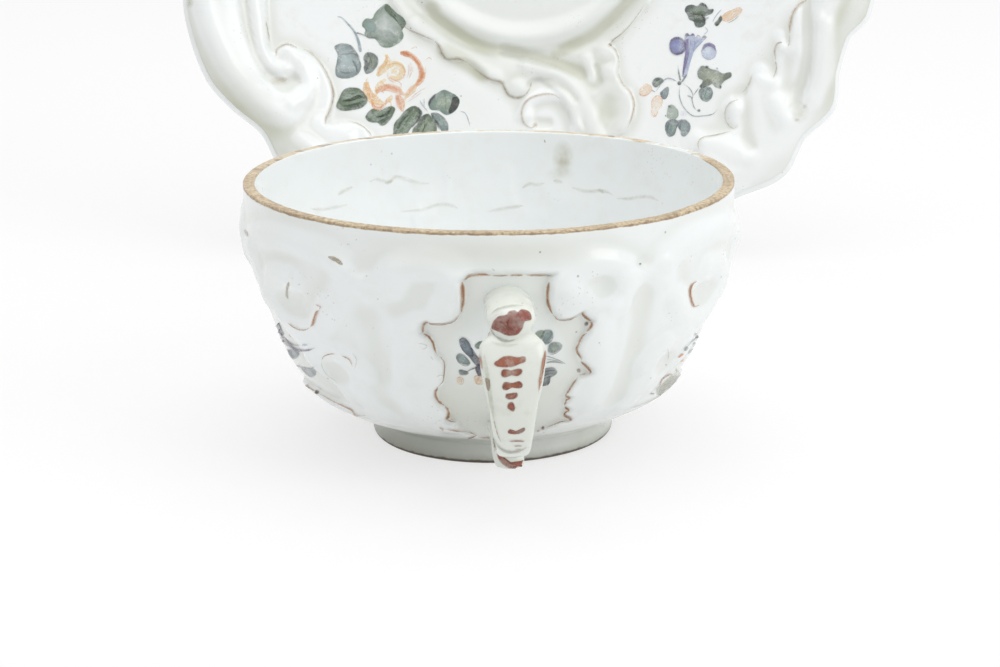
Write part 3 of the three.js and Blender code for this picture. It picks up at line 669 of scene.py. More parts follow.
# A foot in profile: a soft edge, a slight waist, then a neck that flares into the bowl
FOOT_EDGE_PARTS = 6
FOOT_WAIST_PARTS = 3
FOOT_WAIST_RISE = 0.5
FOOT_NECK_OUT = 0.3
FOOT_NECK_RISE = 0.78
FOOT_FLARE_SHARE = 0.45


def cup_foot(material):
    inner = FOOT_RADIUS - FOOT_WIDTH
    soft = FOOT_WIDTH / FOOT_EDGE_PARTS
    flare = FOOT_FILLET * FOOT_FLARE_SHARE
    top = FOOT_HEIGHT + flare
    outline = ((inner + soft, 0), ((inner + FOOT_RADIUS) / 2, 0), (FOOT_RADIUS - soft, 0),
               (FOOT_RADIUS, soft),
               (FOOT_RADIUS - soft / FOOT_WAIST_PARTS, FOOT_HEIGHT * FOOT_WAIST_RISE),
               (FOOT_RADIUS + soft * FOOT_NECK_OUT, FOOT_HEIGHT * FOOT_NECK_RISE),
               (FOOT_RADIUS + flare, FOOT_HEIGHT), (FOOT_RADIUS + FOOT_FILLET, top),
               (FOOT_RADIUS, top), (inner - soft, top), (inner, FOOT_HEIGHT / 2), (inner, soft))
    right, up = Vector((1, 0, 0)), Vector((0, 1, 0))
    piece = turned_piece("cup_foot_glazed", CUP_AXIS, right, up, outline, CUP_FOOT_COLUMNS)
    # Painted shade: the foot is darker on its left, away from the light
    asides = np.array([vertex.co.x for vertex in piece.data.vertices]) - CUP_AXIS.x
    right_share, left_share = FOOT_SHADE_SHARES
    shade = soft_step(FOOT_RADIUS * right_share, FOOT_RADIUS * left_share, asides)
    give_values(piece, "cream", shade)
    return part_of(piece, "cup", ("cup_foot_ring",), material)


# The handles

BAR_SIDES = 40
BAR_PIECES = 12
KNOB_BANDS = 16
END_SHARE = 0.07
END_LEAST_SHARE = 0.1
DRIFT_FROM_SHARE = 0.5
FUSE_VOXEL = 0.32 * MM
FUSE_SMOOTHING = 0.5
FUSE_PASSES = 7


def handle_path(out_shares, height_shares):
    """A path in the handle's own plane: distance out from the cup's axis, and height."""
    heights = CUP_HEIGHT * np.asarray(height_shares)
    outs = bowl_radius(heights) + HANDLE_REACH * np.asarray(out_shares)
    return np.column_stack([outs, heights])


def bar(path, widths, thicknesses, boxy, crown, drift=0):
    """Rings of a flattened bar along a path in the plane of out and up; its far end may drift sideways."""
    line = smooth_line(path, BAR_PIECES)
    steps = np.linspace(0, 1, len(line))
    tangent = np.gradient(line, axis=0)
    tangent /= np.linalg.norm(tangent, axis=1)[:, None]
    knots = np.linspace(0, 1, len(widths))
    rounding = np.sqrt(np.clip((1 - steps) / END_SHARE, END_LEAST_SHARE, 1))
    half_width = between(knots, widths, steps) * MM / 2 * rounding
    half_thick = between(knots, thicknesses, steps) * MM / 2 * rounding
    turns = turn_angles(BAR_SIDES)
    sideways = np.sign(np.cos(turns)) * np.abs(np.cos(turns)) ** boxy
    outwards = np.sign(np.sin(turns)) * np.abs(np.sin(turns)) ** boxy
    outwards = outwards * (1 + crown * (1 - sideways ** 2))
    asides = drift * MM * soft_step(DRIFT_FROM_SHARE, 1, steps)
    rings = []
    for place, along, wide, thick, aside in zip(line, tangent, half_width, half_thick, asides):
        normal = np.array([along[1], -along[0]])
        flat = place + np.outer(outwards * thick, normal)
        rings.append(np.column_stack([sideways * wide + aside, -flat[:, 0], flat[:, 1]]))
    return rings


def knob():
    """Rings of the plump curl that ends the scroll."""
    centre = handle_path((KNOB_OUT_SHARE,), (KNOB_HEIGHT_SHARE,))[0]
    turns = turn_angles(BAR_SIDES)
    rings = []
    for tilt in np.linspace(-math.pi / 2, math.pi / 2, KNOB_BANDS + 2)[1:-1]:
        across = math.sin(tilt) * KNOB_WIDTH / 2 * MM
        radius = math.cos(tilt) ** KNOB_BOXY * KNOB_THICKNESS / 2 * MM
        rings.append(np.column_stack([
            np.full(BAR_SIDES, across),
            -centre[0] - radius * np.cos(turns),
            centre[1] + radius * np.sin(turns),
        ]))
    return rings


def handle_piece(name, turn, material):
    """Scroll, curl, strap and leaf fused under one skin of glaze, as fired."""
    scroll = bar(handle_path(SCROLL_OUT_SHARES, SCROLL_HEIGHT_SHARES), SCROLL_WIDTHS, SCROLL_THICKNESSES,
                 SCROLL_BOXY, SCROLL_CROWN)
    strap = bar(handle_path(STRAP_OUT_SHARES, STRAP_HEIGHT_SHARES), STRAP_WIDTHS, STRAP_THICKNESSES,
                STRAP_BOXY, STRAP_CROWN, STRAP_DRIFT)
    leaf = bar(handle_path(LEAF_OUT_SHARES, LEAF_HEIGHT_SHARES), LEAF_WIDTHS, LEAF_THICKNESSES,
               LEAF_BOXY, LEAF_CROWN, LEAF_DRIFT)
    parts = [ring_mesh(f"{name}_{i}", rings) for i, rings in enumerate((scroll, knob(), strap, leaf))]
    piece = fused(parts, name)
    piece.data.transform(Matrix.Translation(CUP_AXIS) @ Matrix.Rotation(HANDLE_YAW + turn, 4, "Z"))
    nodes = [f"{name}_{part}" for part in ("upper_scroll", "lower_strap", "tip_leaf")]
    return part_of(piece, "cup", nodes, material)


def fused(parts, name):
    """Joins overlapping closed meshes under one smooth skin."""
    bm = bmesh.new()
    for part in parts:
        bm.from_mesh(part.data)
        bpy.data.objects.remove(part)
    mesh = bpy.data.meshes.new(name)
    bm.to_mesh(mesh)
    bm.free()
    piece = linked(name, mesh)
    remesh = piece.modifiers.new("skin", "REMESH")
    remesh.mode = "VOXEL"
    remesh.voxel_size = FUSE_VOXEL
    soften = piece.modifiers.new("soften", "SMOOTH")
    soften.factor = FUSE_SMOOTHING
    soften.iterations = FUSE_PASSES
    made = bpy.data.meshes.new_from_object(piece.evaluated_get(bpy.context.evaluated_depsgraph_get()))
    piece.modifiers.clear()
    piece.data = made
    made.shade_smooth()
    return piece


# The saucer's surface, on a flat map about its middle, seen from its face

FACE_RADII = tuple(radius * MM for radius in (35.5, 42, 47.2, 53.5, 95, 110, 118))
FACE_HEIGHTS = tuple(height * MM for height in (-22, -18.6, -21.2, -19.3, -7.9, -2.6, -4.4))
BACK_RADII = tuple(radius * MM for radius in (52, 95, 110, 118))
BACK_HEIGHTS = tuple(height * MM - SAUCER_THICKNESS for height in (-22, -7.9, -3.6, -4.4))
MAP_FIRST_LEVEL = -10 * MM
MAP_TRIES = 14


def face_plain(radius):
    return between(FACE_RADII, FACE_HEIGHTS, radius)


def saucer_map(pixels):
    """Pixels on the saucer's face as places on its flat map."""
    starts, rays = pixel_rays(pixels)
    starts = starts - np.array(SAUCER_CENTRE)
    right, up, out = (np.array(axis) for axis in (SAUCER_RIGHT, SAUCER_UP, SAUCER_OUT))
    level = np.full(len(rays), MAP_FIRST_LEVEL)
    for _ in range(MAP_TRIES):
        reach = (level - starts @ out) / (rays @ out)
        hits = starts + reach[:, None] * rays
        places = np.column_stack([hits @ right, hits @ up])
        level = face_plain(np.hypot(places[:, 0], places[:, 1]))
    return places


def on_saucer(places, level):
    """World places from the saucer's flat map and a height over its rim."""
    return (np.array(SAUCER_CENTRE) + np.outer(places[:, 0], np.array(SAUCER_RIGHT))
            + np.outer(places[:, 1], np.array(SAUCER_UP)) + np.outer(level, np.array(SAUCER_OUT)))


def saucer_line(places):
    """A smooth line on the saucer's map, from degrees and shares of its radius."""
    degrees, shares = np.asarray(places, float).T
    angles = np.radians(degrees)
    return smooth_line(SAUCER_RADIUS * np.column_stack([shares * np.cos(angles), shares * np.sin(angles)]))


# Outline of the collar's edge, in pixels
COLLAR_PIXELS = ((395, 8), (407, 24), (412, 30), (425, 38), (436, 42), (440, 50), (447, 58), (456, 60.5),
                 (466, 60), (476, 66), (485, 75), (495, 81), (503, 84), (505, 90), (510, 95), (517, 97),
                 (525, 94), (530, 87), (531, 80), (538, 77), (547, 84), (556, 91), (563, 100), (570, 112),
                 (575, 126), (588, 138), (606, 138), (618, 134), (628, 126), (632, 115), (633, 105),
                 (630, 95), (622, 86), (617, 75), (618, 62), (616, 52), (610, 44), (616, 39), (626, 29),
                 (640, 12), (650, 0), (640, -20), (600, -20), (606, 5), (580, 27), (545, 37), (505, 37),
                 (470, 28), (441, 6), (425, -20), (385, -20))

# Moulding of the saucer's lower half: degrees and radius shares, reach and rise in millimetres
SAUCER_RIDGES = (
    (((180, 0.925), (196, 0.925), (206, 0.925), (211.5, 0.915), (217, 0.9), (220.5, 0.865), (220, 0.82)),
      6.8, 1.5),
    (((184, 0.865), (200, 0.865), (208.5, 0.865), (213, 0.865), (216.5, 0.85)), 4.2, 0.6),
    (((190, 0.77), (197, 0.785), (204.5, 0.81), (208.5, 0.825), (212, 0.82), (213.5, 0.795)), 3.2, 1.2),
    (((211.5, 0.765), (215, 0.755), (218.5, 0.77), (220.2, 0.8), (219.5, 0.84)), 3.6, 1.0),
    (((225, 0.89), (228.5, 0.88)), 3.6, 0.8),
    (((226, 0.82), (229, 0.815), (231.5, 0.8)), 4.2, 0.9),
    (((267.6, 0.496), (268, 0.496)), 3.8, 1.3),
    (((270.5, 0.432), (275, 0.445), (279.5, 0.465), (283.5, 0.5), (286, 0.545), (287, 0.6), (287.5, 0.66)),
      3.6, 1.3),
    (((269.5, 0.575), (271, 0.535), (275.5, 0.52), (280.5, 0.532), (283.2, 0.575), (283, 0.63)), 3.4, 1.5),
    (((292.5, 0.45), (291.5, 0.51)), 2.8, 0.8),
    (((299.3, 0.455), (299.6, 0.455)), 3.6, 1.0),
    (((297.3, 0.51), (297.6, 0.51)), 3.6, 0.9),
    (((298.5, 0.59), (297, 0.635), (294, 0.665)), 3.6, 0.8),
    (((226, 0.44), (234, 0.437), (241, 0.45), (250, 0.452), (260, 0.472)), 3.4, 0.6),
    (((360, 0.925), (350, 0.9), (340, 0.875), (335, 0.9), (330.8, 0.935), (326, 0.955)), 5.4, 1.3),
    (((338, 0.872), (338.3, 0.872)), 3.4, 0.8),
    (((333, 0.79), (331, 0.815)), 2.8, 0.8),
    (((324.5, 0.8), (324, 0.83)), 4.6, 1.1),
    (((315.7, 0.8), (316.1, 0.8)), 4.6, 1.3),
    (((321.5, 0.875), (320, 0.925)), 4.0, 1.1),
    (((306, 0.8), (309, 0.85), (311.5, 0.93)), 4.8, 1.0),
)
SAUCER_HOLLOWS = (
    (((180, 0.8), (196.5, 0.812), (203.5, 0.835), (208.5, 0.845), (212, 0.85)), 2.4, 0.7),
    (((213, 0.845), (216, 0.83), (216.3, 0.8)), 3.0, 1.3),
    (((262, 0.395), (270, 0.405), (280, 0.425), (285, 0.445), (289, 0.48), (291.5, 0.525)), 3.6, 1.1),
    (((285, 0.405), (299, 0.408), (310, 0.398), (322, 0.392)), 3.0, 0.6),
    (((271, 0.487), (275, 0.477), (280, 0.482), (283.5, 0.517), (285, 0.55)), 1.9, 0.7),
    (((273.5, 0.597), (276, 0.6)), 2.8, 1.0),
    (((294, 0.485), (293.5, 0.52)), 2.2, 0.8),
    (((293, 0.585), (292, 0.61)), 4.6, 0.8),
    (((360, 0.8), (350, 0.8), (340, 0.825), (336, 0.85), (331.5, 0.88), (327.5, 0.905), (323.5, 0.92)), 3.0,
      1.3),
    (((329, 0.85), (325.5, 0.885)), 5.2, 1.0),
    (((319, 0.8), (314.5, 0.87), (312.5, 0.91)), 4.2, 0.8),
)

# Where the glaze runs together cream beside the ring and the collar's ridges, with painted shade in these
# creases
SAUCER_POOLS_AND_SHADES = (
    ((226, 0.375), (232, 0.388), (251, 0.402), (262, 0.398), (268, 0.403), (275.5, 0.428), (283, 0.447),
     (289, 0.485)),
    ((282, 0.41), (292, 0.402), (302, 0.396), (322, 0.392)),
    ((240, 0.447), (248, 0.45), (255, 0.47)),
)

# Where the raised borders at the saucer's sides begin, in pixels
LEFT_BORDER_PIXELS = ((264, -40), (267, 25), (268, 45), (272, 52), (283, 45), (290, 45), (300, 50),
                      (312, 57), (325, 70), (331, 85), (333, 96), (331, 110), (327, 125), (345, 122),
                      (362, 126), (372, 136))
RIGHT_BORDER_PIXELS = ((814, -40), (803, 0), (795, 12), (790, 25), (789, 45), (781, 43), (776, 52),
                       (776, 64), (777, 74), (772, 79), (755, 76), (750, 85), (743, 95), (733, 101),
                       (727, 112), (730, 122), (737, 127), (728, 132), (712, 136), (701, 140),
                       (698, 150))

# Sizes of the saucer's relief
COLLAR_RISE = 1.2 * MM
BORDER_RISE = 1.3 * MM
BORDER_PIECES = 3
BORDER_SWEEP = 12
BORDER_FAR_SHARE = 1.3
MOULD_EDGE = 1.6 * MM
FOLD_NEAR = 1 * MM
FOLD_FAR = 3 * MM
PLAIN_EDGE_SHARES = (1.03, 0.94)

# How strongly the glaze pools cream on the saucer, with painted shade in its fold, on its collar and in its
# hollows, and less of both on the ridges
COLLAR_CREAM_AND_SHADE = 0.4
WELL_TINT = 0.24
FOLD_CREAM_AND_SHADE = 0.6
FOLD_REACH = 4.4 * MM
BORDER_TINT = 0.05
POOL_REACH = 4.2 * MM
POOL_CREAM_AND_SHADE = 1.0
RIDGE_CLEARING = 0.4
SAUCER_HOLLOW_CREAM_AND_SHADE = 0.36

# Cream and painted shade on the flange's outer slope: degrees, reach in degrees and strength, and between
# which shares of the radius
FLANGE_CREAM_AND_SHADE = ((218, 21, 0.8), (338, 17, 0.5))
FLANGE_SHARES = (0.84, 0.95)

# How finely the saucer is cut
SAUCER_COLUMNS = 520
BACK_SHARES = (0.1, 0.3, 0.44, 0.5, 0.56, 0.62, 0.68, 0.74, 0.8, 0.86, 0.92, 0.97)
LOBED_FROM_SHARE = 0.64
EDGE_ROWS = 9
EDGE_TURNS = (-80, 75)
FACE_ROWS = 96
FACE_EDGE_SHARE = 0.985
FOLD_ROWS = 18
WELL_EDGE_SHARE = 0.94
WELL_SHARES = (0.8, 0.6, 0.35, 0.12)
SAUCER_LEVELLING = (4, 3)
SAUCER_FOOT_COLUMNS = 240


def border_region(pixels):
    """The part of the face from a drawn border out to past the edge, as a closed outline."""
    line = smooth_line(saucer_map(pixels), BORDER_PIECES)
    angles = np.unwrap(np.arctan2(line[[0, -1], 1], line[[0, -1], 0]))
    sweep = np.linspace(angles[1], angles[0], BORDER_SWEEP)
    far = BORDER_FAR_SHARE * SAUCER_RADIUS * np.column_stack([np.cos(sweep), np.sin(sweep)])
    return np.vstack([line, far])


COLLAR = smooth_line(saucer_map(COLLAR_PIXELS), BORDER_PIECES, closed=True)
BORDERS = (border_region(LEFT_BORDER_PIXELS), border_region(RIGHT_BORDER_PIXELS))
POOLS_AND_SHADES = [saucer_line(line) for line in SAUCER_POOLS_AND_SHADES]
RIDGES = [(saucer_line(line), reach * MM, rise * MM) for line, reach, rise in SAUCER_RIDGES]
HOLLOWS = [(saucer_line(line), reach * MM, -fall * MM) for line, reach, fall in SAUCER_HOLLOWS]


def seen_half(places):
    """Places turned into the face's lower half: the unseen half repeats the seen one, turned."""
    return np.where(places[:, 1:] > 0, -places, places)


def over_radius(shares, radius):
    """A soft step between two shares of the saucer's radius."""
    return soft_step(SAUCER_RADIUS * shares[0], SAUCER_RADIUS * shares[1], radius)


def saucer_relief(places):
    """How far the moulding stands out from the plain face."""
    lower = seen_half(places)
    radius = np.hypot(places[:, 0], places[:, 1])
    raised = COLLAR_RISE * soft_step(-MOULD_EDGE / 2, MOULD_EDGE / 2, depth_inside(lower, COLLAR))
    raised *= soft_step(FOLD_RADIUS - FOLD_NEAR, FOLD_RADIUS + FOLD_FAR, radius)
    for outline in BORDERS:
        raised += BORDER_RISE * soft_step(-MOULD_EDGE / 2, MOULD_EDGE / 2, depth_inside(lower, outline))
    for line, reach, rise in RIDGES + HOLLOWS:
        raised += rise * hump(gap_to_line(lower, line), reach)
    return raised * over_radius(PLAIN_EDGE_SHARES, radius)


def saucer_tint(places):
    """Where the glaze pools cream, on the collar, in the well and round its ring, and on the borders; with
    painted shade in the fold, creases and hollows and on the flange, and less on the ridges.
    """
    lower = seen_half(places)
    radius = np.hypot(places[:, 0], places[:, 1])
    past_fold = soft_step(FOLD_RADIUS - FOLD_FAR, FOLD_RADIUS + FOLD_NEAR, radius)
    collar = soft_step(-MOULD_EDGE, MOULD_EDGE, depth_inside(lower, COLLAR))
    turned = np.degrees(np.remainder(np.arctan2(lower[:, 1], lower[:, 0]), TURN))
    outer = over_radius(FLANGE_SHARES, radius)
    tints = [COLLAR_CREAM_AND_SHADE * collar * past_fold, WELL_TINT * (1 - past_fold),
             FOLD_CREAM_AND_SHADE * hump(np.abs(radius - FOLD_RADIUS - FOLD_REACH / 2), FOLD_REACH)]
    for outline in BORDERS:
        tints.append(BORDER_TINT * soft_step(-MOULD_EDGE, MOULD_EDGE, depth_inside(lower, outline)))
    for line in POOLS_AND_SHADES:
        tints.append(POOL_CREAM_AND_SHADE * hump(gap_to_line(lower, line), POOL_REACH))
    for middle, reach, strength in FLANGE_CREAM_AND_SHADE:
        tints.append(strength * outer * hump(np.abs(turned - middle), reach))
    proud = np.max([hump(gap_to_line(lower, line), reach) for line, reach, rise in RIDGES], axis=0)
    return np.max(tints, axis=0) * (1 - RIDGE_CLEARING * proud)


def edge_radius(angle):
    within = 180 + np.remainder(np.degrees(angle), 180)
    return SAUCER_RADIUS * between(EDGE_ANGLES, EDGE_RADIUS_SHARES, within)


def saucer_piece(material):
    angles = turn_angles(SAUCER_COLUMNS)
    edge = edge_radius(angles)
    circle = np.column_stack([np.cos(angles), np.sin(angles)])
    dish = Rings(SAUCER_COLUMNS, cream=0)

    def lobed(radius):
        reach = soft_step(SAUCER_RADIUS * LOBED_FROM_SHARE, SAUCER_RADIUS, radius)
        return radius * (1 + (edge / SAUCER_RADIUS - 1) * reach)

    def ring(radius, level, cream=0):
        dish.add(on_saucer(circle * radius[:, None], level + np.zeros(SAUCER_COLUMNS)), cream=cream)

    for radius in SAUCER_RADIUS * np.array(BACK_SHARES):
        ring(lobed(radius), between(BACK_RADII, BACK_HEIGHTS, radius))
    for degrees in np.linspace(*EDGE_TURNS, EDGE_ROWS):
        bulge = SAUCER_THICKNESS / 2 * math.cos(math.radians(degrees))
        level = FACE_HEIGHTS[-1] - SAUCER_THICKNESS / 2 * (1 - math.sin(math.radians(degrees)))
        ring(edge - SAUCER_THICKNESS / 2 + bulge, level)
    radii = np.concatenate([
        np.linspace(SAUCER_RADIUS * FACE_EDGE_SHARE, FOLD_RADIUS, FACE_ROWS),
        np.linspace(FOLD_RADIUS, WELL_RADIUS * WELL_EDGE_SHARE, FOLD_ROWS)[1:],
        WELL_RADIUS * np.array(WELL_SHARES),
    ])
    grids = [circle * lobed(radius)[:, None] for radius in radii]
    reliefs = np.array([saucer_relief(places) for places in grids])
    for radius, places, relief, hollow in zip(radii, grids, reliefs, hollows(reliefs, *SAUCER_LEVELLING)):
        # Painted shade in the hollows of the moulding, along with the cream of the pooled glaze
        cream = np.clip(saucer_tint(places) + SAUCER_HOLLOW_CREAM_AND_SHADE * hollow, 0, 1)
        ring(lobed(radius), face_plain(radius) + relief, cream)
    piece = dish.mesh("saucer_dish_glazed", cream=(0, WELL_TINT))
    return part_of(piece, "saucer", ("saucer_dish",), material)


def saucer_foot(material):
    outer = SAUCER_FOOT_RADIUS + SAUCER_FOOT_WIDTH / 2
    inner = SAUCER_FOOT_RADIUS - SAUCER_FOOT_WIDTH / 2
    top = -SAUCER_DEPTH - SAUCER_THICKNESS
    low = top - SAUCER_FOOT_HEIGHT
    sunk = top + SAUCER_FOOT_OVERLAP
    soft = SAUCER_FOOT_WIDTH / FOOT_EDGE_PARTS
    outline = ((inner + soft, low), (outer - soft, low), (outer, low + soft), (outer, (low + top) / 2),
               (outer + soft, top), (outer + soft * 2, sunk), (inner - soft * 2, sunk),
               (inner - soft, top), (inner, low + soft))
    piece = turned_piece("saucer_foot_glazed", SAUCER_CENTRE, SAUCER_RIGHT, SAUCER_UP, outline,
                         SAUCER_FOOT_COLUMNS)
    return part_of(piece, "saucer", ("saucer_foot_ring",), material)


# Painting: thin strokes of colour that lie on the glaze

PAINT_LIFT = 0.05 * MM
LAYER_LIFT = 0.015 * MM
LAYERS = 8
CUP_STROKE_REACH = 30 * MM
HANDLE_STROKE_REACH = 6 * MM
SAUCER_STROKE_REACH = 30 * MM
OPAQUE_DEPTH = 0.38 * MM
LEAST_LENGTH = 1e-9
STROKE_PIECES = 6
PLAIN_STROKE_SHARES = (0.45, 1, 1, 1, 0.45)
WIDE_STROKE = 2.4
WIDE_STROKE_COLUMNS = 5
STROKE_COLUMNS = 3
STROKE_END_SHARE = 0.1
PATCH_PIECES = 4
PATCH_SHARES = (1.0, 0.86, 0.68, 0.46, 0.22)
CORE_POWER = 0.8
FADE_POWER = 1.2
DOT_SIDES = 8
DOT_PIECES = 2


def surface_tree(piece):
    """A search tree over a finished surface."""
    points = [vertex.co.copy() for vertex in piece.data.vertices]
    return BVHTree.FromPolygons(points, [list(face.vertices) for face in piece.data.polygons])


def stroke_depth(points, across):
    """How far each point lies inside a stroke's outline; a thin stroke counts as deeper, to be as opaque."""
    width = np.linalg.norm(points[:, -1] - points[:, 0], axis=1)
    middle = points[:, len(across) // 2]
    steps = np.concatenate([[0], np.cumsum(np.linalg.norm(np.diff(middle, axis=0), axis=1))])
    ends = np.minimum(steps, steps[-1] - steps)[:, None] + width[:, None] * STROKE_END_SHARE
    depth = np.minimum((1 - np.abs(across))[None, :] * width[:, None] / 2, ends)
    return depth * max(1, OPAQUE_DEPTH * 2 / width.max())


class Painting:
    """Strokes of colour gathered into one thin sheet, each laid on the glaze and repeated by each turn.

    No part of a stroke lies further than reach before or behind its middle."""

    def __init__(self, name, piece, turns, reach):
        self.name = name
        self.tree = surface_tree(piece)
        self.turns = turns
        self.reach = reach
        self.points, self.faces, self.colours, self.depths, self.covers = [], [], [], [], []
        self.layer = 0

    def lay(self, flat, rays, turn, first_layer=0):
        """Where the rays of flat places meet the glaze, a hair above it.

        A ray that goes by is drawn back to it."""
        starts, ways = rays(flat)
        starts = [turn @ Vector(start) for start in starts]
        ways = [(turn.to_3x3() @ Vector(way)).normalized() for way in ways]
        hits = [self.tree.ray_cast(start, way) for start, way in zip(starts, ways)]
        middle = float(np.median([hit[3] for hit in hits if hit[0] is not None] or [CAMERA_DISTANCE]))
        found = []
        for start, way, hit in zip(starts, ways, hits):
            if hit[0] is None or abs(hit[3] - middle) > self.reach:
                hit = self.tree.find_nearest(start + way * middle)
            place, normal = hit[0], hit[1]
            if normal.dot(way) > 0:
                normal = -normal
            found.append(place + normal * (PAINT_LIFT + LAYER_LIFT * (first_layer + self.layer)))
        return np.array(found)

    def keep(self, points, faces, colours, depths, covers):
        start = len(self.points)
        self.points.extend(points)
        self.faces.extend([start + corner for corner in face] for face in faces)
        self.colours.extend(colours)
        self.depths.extend(depths / MM)
        self.covers.extend(covers)

    def stroke(self, pixels, widths, colour, cover=0.9, rays=pixel_rays, first_layer=LAYERS):
        """A brush line through pixels, with a width at its start, on its way and at its end."""
        line = smooth_line(pixels, STROKE_PIECES)
        tangent = np.gradient(line, axis=0)
        tangent /= np.maximum(np.linalg.norm(tangent, axis=1), LEAST_LENGTH)[:, None]
        side = np.column_stack([-tangent[:, 1], tangent[:, 0]])
        widths = np.atleast_1d(np.asarray(widths, float))
        if len(widths) == 1:
            widths = np.array(PLAIN_STROKE_SHARES) * widths[0]
        half = between(np.linspace(0, 1, len(widths)), widths, np.linspace(0, 1, len(line))) / 2
        count = WIDE_STROKE_COLUMNS if widths.max() > WIDE_STROKE else STROKE_COLUMNS
        across = np.linspace(-1, 1, count)
        flat = (line[:, None, :] + side[:, None, :] * (half[:, None] * across)[:, :, None]).reshape(-1, 2)
        faces = [(i * count + j, i * count + j + 1, (i + 1) * count + j + 1, (i + 1) * count + j)
                 for i in range(len(line) - 1) for j in range(count - 1)]
        for turn in self.turns:
            points = self.lay(flat, rays, turn, first_layer)
            depths = stroke_depth(points.reshape(len(line), count, 3), across).ravel()
            self.keep(points, faces, [colour[:3]] * len(flat), depths, [cover] * len(flat))
        self.layer = (self.layer + 1) % LAYERS

    def patch(self, pixels, colour, core, cover, rays=pixel_rays, pieces=PATCH_PIECES, soft=False):
        """A filled petal or leaf, its colour turning to core at the middle, or a blot that fades outwards."""
        border = smooth_line(pixels, pieces, closed=True)
        centre = border.mean(axis=0)
        rings = [centre + (border - centre) * share for share in PATCH_SHARES]
        count = len(border)
        last = (len(rings) - 1) * count
        faces = [(i + j, i + (j + 1) % count, i + count + (j + 1) % count, i + count + j)
                 for i in range(0, last, count) for j in range(count)]
        faces += [(last + j, last + (j + 1) % count, last + count) for j in range(count)]
        mixes = np.append(np.repeat(1 - np.array(PATCH_SHARES), count), 1)[:, None] ** CORE_POWER
        colours = np.array(colour[:3]) * (1 - mixes) + np.array(core[:3]) * mixes
        covers = cover * (mixes[:, 0] ** FADE_POWER if soft else np.ones(len(mixes)))
        for turn in self.turns:
            points = self.lay(np.vstack(rings + [centre]), rays, turn)
            outer = np.tile(points[:count], (len(rings), 1))
            depths = np.linalg.norm(points[:-1] - outer, axis=1)
            self.keep(points, faces, colours, np.append(depths, depths.max()), covers)
        self.layer = (self.layer + 1) % LAYERS

    def dot(self, pixel, size, colour, cover, soft=False):
        """A round blot, or an oval one where size gives its width and height."""
        wide, high = size if isinstance(size, tuple) else (size, size)
        turns = turn_angles(DOT_SIDES)
        ring = np.column_stack([pixel[0] + wide / 2 * np.cos(turns), pixel[1] + high / 2 * np.sin(turns)])
        self.patch(ring, colour, colour, cover, pieces=DOT_PIECES, soft=soft)

    def finish(self, body):
        piece = plain_mesh(self.name, np.array(self.points), self.faces, tidy=False)
        paint = piece.data.color_attributes.new("paint", "FLOAT_COLOR", "POINT")
        rgba = np.column_stack([np.array(self.colours), np.ones(len(self.colours))])
        paint.data.foreach_set("color", rgba.astype(np.float32).ravel())
        give_values(piece, "edge", self.depths)
        give_values(piece, "cover", self.covers)
        return part_of(piece, body, (), PAINT)


def rgb(red, green, blue):
    """A colour from 0 to 255 sRGB values."""
    def linear(value):
        value /= 255
        return value / 12.92 if value <= 0.04045 else ((value + 0.055) / 1.055) ** 2.4
    return (linear(red), linear(green), linear(blue), 1.0)


# Pigments of the glaze, the bare body and the dirt, with greyer and lighter copies of the glaze for painted
# shade and light
BOWL_WHITE = rgb(239, 243, 243)
BOWL_CREAM_AND_SHADE = rgb(214, 216, 204)
# Painted light: a lighter white for the bowl's shaded inside
INSIDE_PAINTED_LIGHT = rgb(247, 248, 247)
# Painted shade: a greyer copy of the glaze for the handles
HANDLE_SHADED_WHITE = rgb(224, 228, 220)
HANDLE_SHADED_CREAM = rgb(202, 204, 190)
SAUCER_WHITE = rgb(241, 244, 244)
SAUCER_CREAM_AND_SHADE = rgb(197, 199, 181)
PINHOLE_BROWN = rgb(120, 108, 92)
DUST_BROWN = rgb(176, 146, 120)
RIM_PALE = rgb(214, 194, 160)
RIM_TAN = rgb(188, 166, 134)
RIM_DARK_GRAIN = rgb(138, 116, 92)
RIM_CHALK_WHITE = rgb(228, 216, 190)
RIM_BORDER_BROWN = rgb(142, 120, 96)
RIM_BARE_CREAM = rgb(222, 208, 184)
RIM_SPOT_BROWN = rgb(122, 102, 76)
FOOT_WHITE = rgb(238, 241, 236)
FOOT_CREAM = rgb(222, 225, 214)
# Painted shade for the foot's left side
FOOT_SHADE = rgb(162, 165, 152)
# Painted shade: grey towards the floor
FOOT_LOW_SHADE_GREY = rgb(158, 158, 146)
FOOT_BROWN = rgb(84, 70, 54)
FOOT_TAN = rgb(176, 154, 126)
PALE_CRACK = rgb(214, 206, 188)
STAIN = rgb(204, 194, 160)
COLLAR_CREAM = rgb(214, 200, 178)

# Pigments of the painting
BROWN = rgb(140, 78, 46)
UMBER = rgb(92, 66, 50)
RED_BROWN = rgb(158, 92, 74)
DEEP_RED = rgb(126, 60, 46)
SEPIA = rgb(160, 138, 116)
OLIVE = rgb(168, 160, 122)
SLATE = rgb(112, 122, 124)
NIGHT = rgb(70, 72, 86)
DARK_GREEN = rgb(92, 107, 86)
GREEN = rgb(126, 148, 122)
SAGE = rgb(150, 166, 148)
TEAL = rgb(140, 166, 162)
BLUE_GREY = rgb(150, 168, 178)
PALE_BLUE = rgb(194, 208, 226)
PLUM = rgb(104, 98, 118)
LAVENDER = rgb(168, 166, 198)
ORANGE = rgb(232, 160, 112)
PEACH = rgb(242, 204, 164)
YELLOW = rgb(243, 208, 144)
PINK = rgb(218, 172, 164)
CRACK = rgb(188, 178, 156)
LINE_TAN = rgb(212, 156, 108)
LINE_BROWN = rgb(146, 92, 56)

